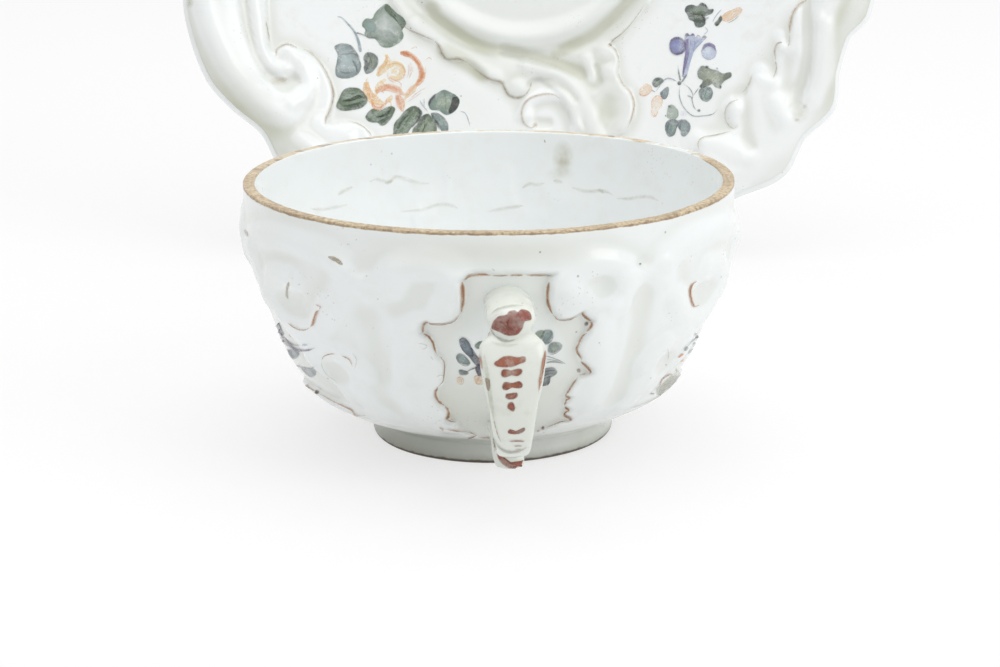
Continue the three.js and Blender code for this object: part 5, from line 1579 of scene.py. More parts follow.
SAUCER_STROKES = (
    (((337.2, 16.7), (341.7, 17.8), (347.2, 23.3), (353.9, 31.1), (358.3, 41.1), (360.6, 52.2)),
      (1.6, 2.6, 4), BLUE_GREY),
    (((352.8, 32.2), (361.7, 34.4), (369.4, 37.8), (378, 38)), 2.2, SLATE),
    (((346, 43.3), (352, 47), (356.5, 53.5), (360, 58)), 2.2, rgb(84, 92, 90)),
    (((337, 54.5), (345, 54.3), (352.8, 53.3), (358.3, 57)), 1.4, SLATE),
    (((336, 70), (345, 73), (355, 72)), 1.2, SLATE),
    (((352, 60), (356, 66), (357, 74)), 2.6, SLATE),
    (((363.5, 59), (368, 64), (366, 72)), 2.4, PLUM),
    (((368, 54), (371, 60), (372, 68)), 0.9, DARK_GREEN),
    (((341.7, 101), (350.6, 100), (358.3, 96.7), (365, 98)), (1.6, 4, 4.4, 2), rgb(66, 78, 60)),
    (((345, 93), (352, 94), (358, 92)), 1.1, DARK_GREEN),
    (((345, 106), (354, 105), (362, 103)), 1.1, DARK_GREEN),
    (((391.7, 107.8), (387.2, 113.3), (380.6, 116.7), (373.9, 115.6)), (1.6, 3.8, 3, 1), rgb(66, 76, 62)),
    (((390, 113), (384, 119), (378, 122)), 1.0, DARK_GREEN),
    (((418.3, 107.2), (421, 113.3), (418.3, 120), (411.7, 128)), (2, 3.6, 3, 2), rgb(76, 78, 82)),
    (((398, 126), (404, 119), (412, 112)), 1.1, DARK_GREEN),
    (((417, 124), (422, 117), (428, 114)), 2.4, SLATE),
    (((425, 116), (424, 128), (420, 138)), 1.0, DARK_GREEN),
    (((431, 114), (435, 121), (440, 130)), 2.6, rgb(82, 88, 92)),
    (((436.1, 93.6), (430.6, 100), (428.6, 106)), 3.4, rgb(80, 84, 86)),
    (((443, 90), (446, 100), (445, 114)), 1.1, GREEN),
    (((419.4, 100), (423, 106), (428.3, 112.2)), 2.2, rgb(186, 190, 206)),
    (((424, 98), (424, 108)), 1.2, rgb(176, 182, 200)),
    (((459.4, 111.1), (465, 113.3), (468.3, 120), (470, 127)), 1.4, rgb(176, 176, 196)),
    (((400.6, 52.2), (407.2, 53.3), (413.9, 57.8), (418.3, 64.4), (421.7, 71.1), (421.7, 77.8),
      (417.2, 82.2)), (2, 4, 3, 4.6, 5, 3), ORANGE),
    (((417.2, 82.2), (412.8, 87.8), (407.2, 94.4), (403, 103)), (2, 4, 3), rgb(244, 202, 160)),
    (((425, 60), (429.4, 57.8), (432.2, 60.6)), 1.6, PEACH),
    (((410, 50), (415, 47), (418, 49)), 1.4, PEACH),
    (((425, 66), (425.5, 72), (424, 79)), 1.4, PEACH),
    (((409.4, 100), (417, 93), (427, 87)), 1.6, PINK),
    (((406, 103), (414, 98), (422, 92)), 1.2, PINK),
    (((387.2, 54.4), (385, 63.3), (379.4, 68.9), (378.3, 76.7)), (1.6, 3.6, 4.4, 2), rgb(240, 192, 130)),
    (((388.3, 66.7), (393.9, 63.3), (401.7, 65.6), (405, 72.2), (401.7, 78.9), (393.9, 80), (388.9, 76.7),
      (388.3, 70)), 2.4, rgb(238, 186, 148)),
    (((392, 72), (395, 68.5), (399.5, 70), (399, 74), (394.5, 75.5)), 2.2, YELLOW),
    (((396, 80), (401, 84), (400, 89)), 1.8, rgb(236, 180, 146)),
    (((408.3, 64), (409, 70), (407.2, 78.9)), 1.8, rgb(206, 164, 162)),
    (((367.2, 76.7), (366.1, 84.4), (367.2, 92.2), (372.8, 96.7), (377.2, 92.2), (375, 86.7)), 3.4,
      rgb(243, 200, 142)),
    (((380.6, 92.2), (387.2, 87.8), (393.9, 88.9), (397.2, 92.2)), 4, rgb(237, 174, 136)),
    (((396.1, 94.4), (397.2, 98.9), (398.3, 105.6), (401.7, 111)), (3, 5, 4, 2), rgb(237, 174, 136)),
    (((371.7, 100), (373.9, 106.7), (379.4, 108.9), (385, 104.4), (387.2, 97.8)), (3, 5, 4, 2),
      rgb(236, 174, 128)),
    (((388, 98), (391, 104), (390, 108)), 2.2, rgb(238, 190, 130)),
    (((395.6, 97.5), (398, 99.5)), 2.6, rgb(196, 112, 104)),
    (((382, 91), (384, 93.5)), 1.6, PINK),
    (((380, 80), (384, 84), (391, 85)), 1.8, YELLOW),
    (((409.6, 53.4), (416, 61), (421.5, 70), (421, 78), (416, 85)), (2, 2.6, 3, 3.4, 2),
      rgb(233, 164, 118)),
    (((384.6, 55), (387.4, 61), (384, 67.5), (378.5, 72)), (1, 2, 2.4, 1), rgb(237, 188, 126)),
    (((366, 86), (370.5, 91), (369, 97), (374, 101)), (1.4, 2.4, 2, 1.2), rgb(235, 174, 118)),
    (((377, 91), (386, 85.5), (396, 88.5), (403, 94)), (1.4, 2.4, 2.4, 1.2), rgb(233, 164, 126)),
    (((372, 105), (379, 107.5), (386, 103)), (1.4, 2.6, 1.6), rgb(233, 166, 114)),
    (((397.5, 97), (400, 103), (402, 110)), (1.4, 2.6, 1.2), rgb(233, 164, 118)),
    (((401, 53), (405, 52.5), (409, 55.5)), (1.6, 3, 1.8), rgb(230, 156, 114)),
    (((387, 72), (388, 78), (393, 82), (399, 81)), (1, 1.8, 1.8, 1), rgb(234, 176, 122)),
    (((686.8, 39), (687.2, 50), (685.8, 62), (683.3, 75)), (4.4, 4.2, 3.8, 2.4), rgb(146, 136, 180)),
    (((693.5, 41), (692.5, 50), (689.5, 61), (687, 70)), (4, 3.4, 2.6, 1.4), rgb(186, 200, 230)),
    (((701, 40), (697, 45), (693.5, 52)), (4.4, 3.6, 2), rgb(196, 208, 232)),
    (((705, 27), (707.5, 31), (704, 35)), 1.6, rgb(186, 188, 204)),
    (((712, 24), (716, 16), (722, 9)), 1.4, rgb(186, 188, 204)),
    (((727, 23.5), (734, 20), (740, 15)), 1.2, SAGE),
    (((701, 14), (704, 18), (705, 24)), 3.4, rgb(70, 74, 70)),
    (((700.5, 3), (705, 5), (709, 10)), 2.4, rgb(88, 84, 92)),
    (((713, 9), (711, 13)), 1.8, NIGHT),
    (((689, 13), (696, 14), (703, 12)), 1.2, DARK_GREEN),
    (((684.6, 37.4), (687, 34.6), (690, 36)), (1.6, 3.6, 1.8), rgb(96, 88, 118)),
    (((690.4, 36.2), (692.6, 34.4), (695.4, 36.4)), (1.4, 3, 1.6), rgb(112, 104, 138)),
    (((696, 36.6), (698.5, 35.8), (701, 37.4)), (1.2, 2.4, 1.2), rgb(134, 128, 160)),
    (((701.6, 38), (704.2, 36.8), (707, 37.6)), (1.4, 3.6, 2), rgb(92, 86, 116)),
    (((685.4, 54), (684.9, 61), (684, 68), (682.6, 77)), (1.2, 2.8, 2.8, 1.4), rgb(110, 106, 150)),
    (((691, 39), (690, 48), (688, 60)), 1.3, rgb(150, 144, 186)),
    (((697, 39), (694, 47), (690.5, 57)), 1.0, LAVENDER),
    (((688, 38), (687.6, 46)), 1.6, rgb(176, 150, 186)),
    (((668.9, 46.1), (671.3, 40.2), (677.2, 37.8), (683.1, 40.2), (685.5, 46.1), (683.1, 52), (677.2, 54.4),
      (671.3, 52), (668.9, 46.1)), 2.8, rgb(98, 90, 130)),
    (((702, 51), (704.4, 46.5), (708.9, 44.6), (713.6, 46.5), (715.8, 51)), (1.6, 4.4, 4.6, 4.4, 1.6),
      rgb(142, 134, 172)),
    (((701, 50), (702, 55), (706, 59), (711, 59.4), (715.5, 56), (716.6, 50)), 1.0, LAVENDER),
    (((677.8, 64.4), (678.9, 73.3), (680.6, 81.1)), (0.8, 2.4, 2.6), rgb(112, 124, 120)),
    (((687, 74), (684, 79), (681, 83)), 2.6, rgb(104, 118, 112)),
    (((677.8, 82.2), (671.1, 78.9), (664.4, 80), (655.6, 92.2)), 2.2, rgb(160, 164, 176)),
    (((680, 84.4), (679.4, 95.6), (683.3, 106.7), (692.2, 115.6), (702.2, 116.1), (712.2, 114.4),
      (717.8, 109.4)), 1.7, rgb(112, 126, 136)),
    (((682.2, 83.3), (688.9, 87.8), (692.8, 94.4), (692.2, 100), (694.4, 107.8), (698.9, 112.2)), 1.4,
      rgb(116, 130, 134)),
    (((686.7, 95.6), (691.1, 97.2), (692.3, 100)), 1.8, SLATE),
    (((693.3, 95.6), (698.9, 87.8)), 1.4, SLATE),
    (((655.6, 92.2), (651, 90)), 1.4, SAGE),
    (((705, 67), (709, 67)), 3, NIGHT),
    (((716, 68), (718.5, 69)), 2.4, PLUM),
    (((720, 85), (721, 88.5)), 2, SLATE),
    (((668, 105.5), (670.5, 107.5)), 2.6, SLATE),
    (((665, 115), (666.5, 117)), 1.6, SLATE),
    (((653, 86), (657, 81), (662, 79)), 1.0, NIGHT),
    (((651.3, 109), (652.4, 100), (656.7, 95.8), (662, 98), (662.6, 104.4)), 1.4, ORANGE),
    (((651.3, 109), (651.8, 114.2), (655.4, 116.4), (658.9, 110)), 1.8, ORANGE),
    (((638.5, 91), (641.1, 95.4), (646.7, 95.4), (652, 91)), 1.6, ORANGE),
    (((674, 119), (678, 121), (683, 119)), 1.6, rgb(168, 166, 186)),
)
SAUCER_DOTS = (
    ((679.4, 83.3), 5, rgb(88, 100, 96), 0.9), ((698.9, 110.6), 4, SLATE, 0.9),
    ((683.5, 114), 9, rgb(226, 226, 246), 0.4), ((800, 112), (22, 26), rgb(206, 198, 172), 0.25),
    ((804, 106), (8, 7), rgb(180, 168, 130), 0.3), ((797, 120), (7, 5), rgb(180, 168, 130), 0.25),
    # The blot at (190, 2) is painted shade on the lip's outer slope
    ((874, 12), (4, 7), rgb(150, 140, 112), 0.6), ((190, 2), (10, 14), rgb(200, 200, 176), 0.5),
    # The blots at (283, 79.5) and (280, 81) are painted shade in the hollow under a scroll's eye
    ((283, 79.5), (10, 6), rgb(196, 176, 150), 0.5), ((280, 81), (24, 11), rgb(216, 206, 186), 0.5),
    ((535, 125), (7, 8), rgb(206, 178, 146), 0.6), ((793, 178), (18, 8), rgb(206, 200, 172), 0.3),
)

# Washes under the rose's brush lines: pixels, widths, colour
ROSE_WASHES = (
    (((386, 54), (387.5, 62), (383.5, 69), (377, 76)), (4, 8, 9, 5), rgb(247, 214, 152)),
    (((366, 82), (367.5, 92), (374, 100), (384, 104)), (6, 10, 11, 5), rgb(245, 200, 136)),
    (((375, 92), (385, 87.5), (396, 89.5), (404, 95)), (5, 8, 9, 4), rgb(242, 182, 136)),
    (((400, 53), (408, 54), (416, 60), (421, 69), (421.5, 78), (416, 86)), (5, 7, 6, 7, 8, 5),
      rgb(243, 186, 142)),
    (((389, 68), (394, 63.5), (401, 66), (402.5, 73), (397, 78.5), (390, 76.5)), (4, 6, 6, 6, 6, 4),
      rgb(248, 218, 162)),
    (((391, 71), (397, 72)), (5, 5), rgb(248, 222, 168)),
    (((397.5, 95), (401, 103), (402.5, 112)), (6, 9, 4), rgb(241, 180, 132)),
    (((405, 97), (412, 90), (417, 84)), (6, 8, 4), rgb(247, 214, 178)),
    (((386, 79), (379, 85), (376, 92)), (4, 6, 4), rgb(248, 216, 162)),
    (((384, 104), (390, 99), (392, 95)), (3, 6, 3), rgb(246, 208, 150)),
    (((410, 62), (411.5, 70), (409, 79)), (2, 4, 2), rgb(246, 218, 206)),
)

# How strongly the colours cover: lines have a broad soft part and a narrow core
PANEL_LINE_WIDE = 1.5
PANEL_LINE_NARROW = 0.7
PANEL_LINE_COVERS = (0.7, 0.8)
THIN_LINE_WIDTHS = (2.0, 1.1)
THIN_LINE_COVERS = (0.5, 0.7)
FAINT_LINE_WIDTH = 1.3
FAINT_COVER = 0.45
FULL_COVER = 0.85
HANDLE_COVER = 0.95
CRACK_WIDTHS = (5, 2)
CRACK_COVERS = (0.18, 0.12)
RIM_MARK_PIXELS = ((544.5, 139.5), (545.5, 143))
RIM_MARK_WIDTH = 1.8
COLD_COVER = 0.8
WARM_COVER = 0.5
WARM_SHARE = 1.6
WASH_COVER = 0.52
COLLAR_LINE_WIDE = 2.6
COLLAR_LINE_NARROW = 1.1
COLLAR_LINE_COVERS = (0.26, 0.44)
SOFT_DOT_COVER = 0.7

# The trumpet flower's spray again, on the cup's flank
TRUMPET_CENTRE = (690, 72)
TRUMPET_SPRAY_LEFT = 600
SIDE_SPRAY_AZIMUTH = math.radians(86)
SIDE_SPRAY_HEIGHT = 38 * MM
SIDE_SPRAY_SCALE = 0.18 * MM

# Brush marks on a leaf: place across it and width as shares of its half width, colour, cover
LEAF_MARKS = (
    (-0.4, 0.5, rgb(190, 204, 190), 0.4), (0.05, 0.16, rgb(60, 70, 62), 0.45),
    (0.5, 0.4, rgb(70, 78, 74), 0.4), (0.25, 0.14, rgb(196, 208, 196), 0.35),
)
LEAF_MARK_REACH = 0.66
LEAF_MARK_BOW = 0.6
LEAF_MARK_ENDS = 0.4


def leaf_marks(painting, pixels):
    """Light and dark brush marks along a leaf, side by side, bowed like its edge."""
    outline = np.array(pixels, float)
    middle = outline.mean(axis=0)
    along, across = np.linalg.svd(outline - middle)[2]
    long = np.abs((outline - middle) @ along).max()
    wide = np.abs((outline - middle) @ across).max()
    for place, share, colour, cover in LEAF_MARKS:
        ends = [middle + along * long * way + across * wide * place * LEAF_MARK_BOW
                for way in (-LEAF_MARK_REACH, LEAF_MARK_REACH)]
        bow = middle + across * wide * place
        widths = (wide * share * LEAF_MARK_ENDS, wide * share, wide * share * LEAF_MARK_ENDS)
        painting.stroke((ends[0], bow, ends[1]), widths, colour, cover)


def half_turn_about(point, axis):
    return Matrix.Translation(point) @ Matrix.Rotation(math.pi, 4, axis) @ Matrix.Translation(-point)


def side_rays(pixels):
    """Rays that lay the trumpet flower's spray on the cup's flank."""
    turn = SIDE_SPRAY_AZIMUTH + CUP_YAW
    out = np.array((math.sin(turn), -math.cos(turn), 0))
    across = np.array((math.cos(turn), math.sin(turn), 0))
    flat = (np.asarray(pixels, float) - TRUMPET_CENTRE) * SIDE_SPRAY_SCALE
    starts = (np.array(CUP_AXIS) + out * RIM_RADIUS * 2 + flat[:, :1] * across
              + (SIDE_SPRAY_HEIGHT - flat[:, 1:]) * np.array((0, 0, 1)))
    return starts, np.tile(-out, (len(starts), 1))


CUP_TURNS = (Matrix.Identity(4), half_turn_about(CUP_AXIS, Vector((0, 0, 1))))
SAUCER_TURNS = (Matrix.Identity(4), half_turn_about(SAUCER_CENTRE, SAUCER_OUT))


def double_line(painting, pixels, widths, colours, covers):
    """A line with a broad soft part and a narrow core."""
    for width, colour, cover in zip(widths, colours, covers):
        painting.stroke(pixels, width, colour, cover)


def paint_panels(painting):
    """Brown lines round the moulded panels."""
    colours = (LINE_TAN, LINE_BROWN)
    for pixels, width in WIDE_PANEL_LINES:
        widths = (width * PANEL_LINE_WIDE, width * PANEL_LINE_NARROW)
        double_line(painting, pixels, widths, colours, PANEL_LINE_COVERS)
    for pixels in THIN_PANEL_LINES:
        double_line(painting, pixels, THIN_LINE_WIDTHS, colours, THIN_LINE_COVERS)
    for pixels in FAINT_CUP_LINES:
        painting.stroke(pixels, FAINT_LINE_WIDTH, OLIVE, FAINT_COVER)


def paint_inside(painting):
    """Lines and stains in the glaze inside the bowl, which aren't repeated."""
    painting.turns = CUP_TURNS[:1]
    for pixels in CRACK_LINES:
        double_line(painting, pixels, CRACK_WIDTHS, (PALE_CRACK, CRACK), CRACK_COVERS)
    for pixel, size, cover in STAIN_DOTS:
        painting.dot(pixel, size, STAIN, cover, soft=True)
    painting.stroke(RIM_MARK_PIXELS, RIM_MARK_WIDTH, SEPIA, COLD_COVER)
    painting.turns = CUP_TURNS


def paint_cup(bowl):
    painting = Painting("cup_painting", bowl, CUP_TURNS, CUP_STROKE_REACH)
    paint_panels(painting)
    for pixels, border, core, cover in CUP_PETALS:
        painting.patch(pixels, border, core, cover)
    for pixels, width, colour in CUP_STROKES:
        painting.stroke(pixels, width, colour, FULL_COVER)
    for pixel, size, colour in PANEL_DOTS:
        painting.dot(pixel, size, colour, FULL_COVER)
    paint_inside(painting)
    for pixels, border, core, cover in SAUCER_PATCHES:
        if pixels[0][0] > TRUMPET_SPRAY_LEFT:
            painting.patch(pixels, border, core, cover, rays=side_rays)
    for pixels, width, colour in SAUCER_STROKES:
        if pixels[0][0] > TRUMPET_SPRAY_LEFT:
            painting.stroke(pixels, width, colour, rays=side_rays)
    painting.finish("cup")


def paint_handle(name, handle, turn):
    painting = Painting(name, handle, (turn,), HANDLE_STROKE_REACH)
    for pixels, widths, colour, cover in HANDLE_CREASE_SHADES:
        painting.stroke(pixels, widths, colour, cover)
    for pixels, border, core in HANDLE_PATCHES:
        painting.patch(pixels, border, core, HANDLE_COVER)
    for pixels, width, colour in HANDLE_STROKES:
        painting.stroke(pixels, width, colour, FULL_COVER)
    painting.finish("cup")


def paint_saucer(dish):
    painting = Painting("saucer_painting", dish, SAUCER_TURNS, SAUCER_STROKE_REACH)
    for pixels, width, colour in COLLAR_LINES:
        widths = (width * COLLAR_LINE_WIDE, width * COLLAR_LINE_NARROW)
        double_line(painting, pixels, widths, (COLLAR_CREAM, colour), COLLAR_LINE_COVERS)
    for pixels, widths, colour in ROSE_WASHES:
        painting.stroke(pixels, widths, colour, WASH_COVER, first_layer=0)
    for pixel, size, colour, cover in SAUCER_DOTS:
        painting.dot(pixel, size, colour, cover, soft=cover < SOFT_DOT_COVER)
    for pixels, border, core, cover in SAUCER_PATCHES:
        painting.patch(pixels, border, core, cover)
        if border in (DARK_GREEN, GREEN, SLATE):
            leaf_marks(painting, pixels)
    for pixels, width, colour in SAUCER_STROKES:
        warm = colour[0] > WARM_SHARE * colour[2]
        painting.stroke(pixels, width, colour, WARM_COVER if warm else COLD_COVER)
    painting.finish("saucer")


# Materials

class Nodes:
    """Short ways to build the node tree of a material or a world."""

    def __init__(self, holder, out_kind="ShaderNodeOutputMaterial"):
        holder.use_nodes = True
        self.holder = holder
        self.tree = holder.node_tree
        self.tree.nodes.clear()
        self.out = self.tree.nodes.new(out_kind)

    def add(self, kind, **settings):
        node = self.tree.nodes.new(kind)
        for key, value in settings.items():
            setattr(node, key, value)
        return node

    def feed(self, target, source):
        """Gives a socket a link, or a plain value."""
        if isinstance(source, bpy.types.NodeSocket):
            self.tree.links.new(source, target)
        else:
            target.default_value = source

    def fed(self, kind, sockets, **settings):
        """A node with its sockets fed, by name or number."""
        node = self.add(kind, **settings)
        for slot, source in sockets.items():
            self.feed(node.inputs[slot], source)
        return node

    def place(self):
        return self.add("ShaderNodeTexCoord").outputs["Object"]

    def noise(self, scale, detail, roughness=0.5):
        sockets = {"Vector": self.place(), "Scale": scale, "Detail": detail, "Roughness": roughness}
        return self.fed("ShaderNodeTexNoise", sockets).outputs["Fac"]

    def cells(self, scale):
        """How far each place lies from the nearest of scattered points."""
        sockets = {"Vector": self.place(), "Scale": scale}
        return self.fed("ShaderNodeTexVoronoi", sockets).outputs["Distance"]

    def math(self, operation, a, b):
        return self.fed("ShaderNodeMath", {0: a, 1: b}, operation=operation).outputs[0]

    def times(self, a, b):
        return self.math("MULTIPLY", a, b)

    def most(self, a, b):
        return self.math("MAXIMUM", a, b)

    def range(self, value, low, high, to_low=0.0, to_high=1.0):
        """A smooth step of a value, from to_low at low to to_high at high."""
        sockets = {"Value": value, "From Min": low, "From Max": high, "To Min": to_low, "To Max": to_high}
        return self.fed("ShaderNodeMapRange", sockets, interpolation_type="SMOOTHSTEP").outputs[0]

    def clouds(self, scale, detail, low, high, to_low=0.0, to_high=1.0, roughness=0.5):
        """Soft patches: a smooth step of noise."""
        return self.range(self.noise(scale, detail, roughness), low, high, to_low, to_high)

    def ragged(self, scale, detail, size, roughness=0.5):
        """Noise about nought, to make an edge ragged by a set size."""
        return self.times(self.math("SUBTRACT", self.noise(scale, detail, roughness), 0.5), size)

    def mix(self, factor, a, b):
        return self.fed("ShaderNodeMix", {0: factor, 6: a, 7: b}, data_type="RGBA").outputs[2]

    def value(self, name, output="Fac"):
        return self.add("ShaderNodeAttribute", attribute_name=name).outputs[output]

    def bump(self, height, strength, distance, under=None):
        sockets = {"Strength": strength, "Distance": distance, "Height": height}
        if under is not None:
            sockets["Normal"] = under
        return self.fed("ShaderNodeBump", sockets).outputs["Normal"]

    def finished(self, colour, rough, normal, alpha=1.0):
        sockets = {"Specular IOR Level": GLOSS, "IOR": GLAZE_IOR, "Base Color": colour, "Roughness": rough,
                   "Normal": normal, "Alpha": alpha}
        shader = self.fed("ShaderNodeBsdfPrincipled", sockets)
        self.feed(self.out.inputs[0], shader.outputs[0])
        return self.holder


def new_nodes(name):
    return Nodes(bpy.data.materials.new(name))


GLOSS = 0.5
GLAZE_IOR = 1.5

# Clouds in the glaze: scale, detail, where they start and are full, what they give there, roughness
POOL_CLOUDS = (45, 3, 0.3, 0.7, 0.75, 1.1)
BROAD_CLOUDS = (16, 2, 0.45, 0.7, 0.0, 0.16)
FINE_CLOUDS = (150, 5, 0.5, 0.75)
FINE_ROUGHNESS = 0.65
PLAIN_MOTTLE = 0.18
HANDLE_MOTTLE = 0.5
SHEEN_CLOUDS = (240, 2, 0.3, 0.75, 0.12, 0.22)

# Pinholes and dust: cells to a metre, the size of each hole in cells, and where they gather
PINHOLE_CELLS = 210
PINHOLE_SIZES = (0.085, 0.04)
PINHOLE_CLOUDS = (90, 1, 0.56, 0.62)
PINHOLE_COVER = 0.5
DUST_CELLS = 820
DUST_SIZES = (0.2, 0.1)
DUST_CLOUDS = (70, 2, 0.58, 0.68, 0.0, 0.4)

# Bumps: how strong, and how high in metres
PEEL_NOISE = (120, 2)
PEEL_STRENGTH = 0.25
PEEL_HEIGHT = 0.6 * MM
PIT_STRENGTH = -0.6
PIT_DEPTH = 0.3 * MM

# Painted light that whitens the bowl's inside, and its worn rim
INSIDE_PAINTED_LIGHT_COVER = 0.25
RIM_RAGGED = (420, 4, 0.65, 0.6)
BAND_REACH = 1.5
WORN_EDGE = (0.42, 0.22)
RIM_CLOUDS = (90, 4, 0.38, 0.62, 0.0, 1.0, 0.6)
RIM_GRAIN = (1100, 3, 0.42, 0.66, 0.0, 0.75)
RIM_CHALK = (800, 2, 0.58, 0.7, 0.0, 0.6)
RIM_BORDER = (-0.75, -0.1)
RIM_BORDER_CLOUDS = (260, 3, 0.36, 0.6, 0.1, 0.62)
RIM_BARE = (0.8, 0.3, 0.0, 0.5)
RIM_SPOTS = (230, 3, 0.58, 0.66, 0.0, 0.7)
RIM_SPOT_PLACES = (0.9, 0.4)
RIM_SHEEN = (0.17, 0.42)
RIM_STEP_STRENGTH = -0.5
RIM_STEP_HEIGHT = 0.2 * MM

# The feet
FOOT_CLOUDS = (45, 3, 0.45, 0.68)
FOOT_SHADE_COVER = 0.75
FOOT_RAGGED = (500, 3, 0.8)
FOOT_LOW_SHADE = (3.2, 0.6, 0.0, 0.55)
FOOT_LINE = (1.3, 0.8)
FOOT_LINE_COVER = 0.9
FOOT_END = (0.42, 0.2, 0.0, 0.85)
FOOT_SHEEN = (0.2, 0.6)
FOOT_GRAIN = (400, 3)
FOOT_GRAIN_STRENGTH = 0.2
FOOT_GRAIN_HEIGHT = 0.3 * MM

# The paint
PAINT_RAGGED = (2200, 4, 0.34, 0.6)
PAINT_EDGE = (-0.02, 0.36)
PAINT_FINE_CLOUDS = (900, 4, 0.3, 0.62, 0.72, 1.0, 0.6)
PAINT_BROAD_CLOUDS = (330, 3, 0.36, 0.62, 0.66, 1.0)
PAINT_RIM = (0.7, 0.1, 0.0, 0.42)
PAINT_RIM_COVERS = (0.55, 0.8)
PAINT_TONES = (700, 3, 0.4, 0.7, 0.0, 0.26)
PAINT_TONE_COVERS = (0.45, 0.75)
PAINT_DARKENING = (0.6, 0.58, 0.6)
PAINT_SHEEN = (240, 2, 0.3, 0.75, 0.14, 0.26)
PAINT_GRAIN = (1800, 3)
PAINT_GRAIN_STRENGTH = 0.15
PAINT_GRAIN_HEIGHT = 0.2 * MM


def glazed(n, white, pooled, mottle=PLAIN_MOTTLE):
    """White tin glaze: it pools cream and takes painted shade where a piece asks, and has pinholes, a few
    specks and a slight orange peel.
    """
    # Each piece's cream value holds both pooled glaze and painted shade
    tint = n.times(n.value("cream"), n.clouds(*POOL_CLOUDS))
    fine = n.clouds(*FINE_CLOUDS, to_high=mottle, roughness=FINE_ROUGHNESS)
    colour = n.mix(n.most(n.most(tint, n.clouds(*BROAD_CLOUDS)), fine), white, pooled)
    pit = n.times(n.range(n.cells(PINHOLE_CELLS), *PINHOLE_SIZES), n.clouds(*PINHOLE_CLOUDS))
    colour = n.mix(n.times(pit, PINHOLE_COVER), colour, PINHOLE_BROWN)
    dust = n.times(n.range(n.cells(DUST_CELLS), *DUST_SIZES), n.clouds(*DUST_CLOUDS))
    colour = n.mix(dust, colour, DUST_BROWN)
    peel = n.bump(n.noise(*PEEL_NOISE), PEEL_STRENGTH, PEEL_HEIGHT)
    return colour, n.clouds(*SHEEN_CLOUDS), n.bump(pit, PIT_STRENGTH, PIT_DEPTH, under=peel)


def bare_rim(n, rim, band):
    """The tan body that shows where the glaze has worn off the rim."""
    tan = n.mix(n.clouds(*RIM_CLOUDS), RIM_PALE, RIM_TAN)
    tan = n.mix(n.clouds(*RIM_GRAIN), tan, RIM_DARK_GRAIN)
    tan = n.mix(n.clouds(*RIM_CHALK), tan, RIM_CHALK_WHITE)
    tan = n.mix(n.times(n.range(rim, *RIM_BORDER), n.clouds(*RIM_BORDER_CLOUDS)), tan, RIM_BORDER_BROWN)
    tan = n.mix(n.range(band, *RIM_BARE), tan, RIM_BARE_CREAM)
    return n.mix(n.times(n.clouds(*RIM_SPOTS), n.range(band, *RIM_SPOT_PLACES)), tan, RIM_SPOT_BROWN)


def bowl_material():
    """The glaze, made lighter inside the bowl as painted light, and worn off the rim down to a tan body with
    a ragged brown lower edge.
    """
    n = new_nodes("cup_glaze")
    colour, rough, normal = glazed(n, BOWL_WHITE, BOWL_CREAM_AND_SHADE)
    # Painted light: the bowl's inside is made lighter, where it lies in shade
    colour = n.mix(n.times(n.value("inside"), INSIDE_PAINTED_LIGHT_COVER), colour, INSIDE_PAINTED_LIGHT)
    rim = n.value("rim")
    band = n.value("band")
    worn = n.math("ADD", n.math("ADD", rim, n.ragged(*RIM_RAGGED)), n.range(band, 0, 1, BAND_REACH, 0))
    mask = n.range(worn, *WORN_EDGE)
    colour = n.mix(mask, colour, bare_rim(n, rim, band))
    step = n.bump(mask, RIM_STEP_STRENGTH, RIM_STEP_HEIGHT, under=normal)
    return n.finished(colour, n.range(mask, 0, 1, *RIM_SHEEN), step)


def foot_material():
    """Glaze that stops short of a brown line, bare body with painted contact shadow, where the foot rests;
    painted shade darkens its left side and greys it towards the floor.
    """
    n = new_nodes("foot_glaze")
    colour = n.mix(n.clouds(*FOOT_CLOUDS), FOOT_WHITE, FOOT_CREAM)
    # Painted shade on the left of the cup's foot
    colour = n.mix(n.times(n.value("cream"), FOOT_SHADE_COVER), colour, FOOT_SHADE)
    rest = n.math("ADD", n.value("rest"), n.ragged(*FOOT_RAGGED))
    # Painted shade: greyer towards the floor
    colour = n.mix(n.range(rest, *FOOT_LOW_SHADE), colour, FOOT_LOW_SHADE_GREY)
    # A dark line of bare body with painted contact shadow
    line = n.range(rest, *FOOT_LINE)
    colour = n.mix(n.times(line, FOOT_LINE_COVER), colour, FOOT_BROWN)
    colour = n.mix(n.range(rest, *FOOT_END), colour, FOOT_TAN)
    grain = n.bump(n.noise(*FOOT_GRAIN), FOOT_GRAIN_STRENGTH, FOOT_GRAIN_HEIGHT)
    return n.finished(colour, n.range(line, 0, 1, *FOOT_SHEEN), grain)


def paint_material():
    """Pigment sunk in glaze: soft and ragged at the edges of a stroke, thinner where the brush ran dry."""
    n = new_nodes("paint")
    edge = n.value("edge")
    cover = n.value("cover")
    body = n.range(n.math("ADD", edge, n.ragged(*PAINT_RAGGED)), *PAINT_EDGE)
    wash = n.times(n.clouds(*PAINT_FINE_CLOUDS), n.clouds(*PAINT_BROAD_CLOUDS))
    alpha = n.times(n.times(body, wash), cover)
    pooled = n.times(n.range(edge, *PAINT_RIM), n.range(cover, *PAINT_RIM_COVERS))
    tone = n.times(n.clouds(*PAINT_TONES), n.range(cover, *PAINT_TONE_COVERS))
    paint = n.value("paint", "Color")
    dark = n.fed("ShaderNodeVectorMath", {0: paint, 1: PAINT_DARKENING}, operation="MULTIPLY").outputs[0]
    colour = n.mix(n.most(pooled, tone), paint, dark)
    grain = n.bump(n.noise(*PAINT_GRAIN), PAINT_GRAIN_STRENGTH, PAINT_GRAIN_HEIGHT)
    return n.finished(colour, n.clouds(*PAINT_SHEEN), grain, alpha)


PAINT = paint_material()


# The studio

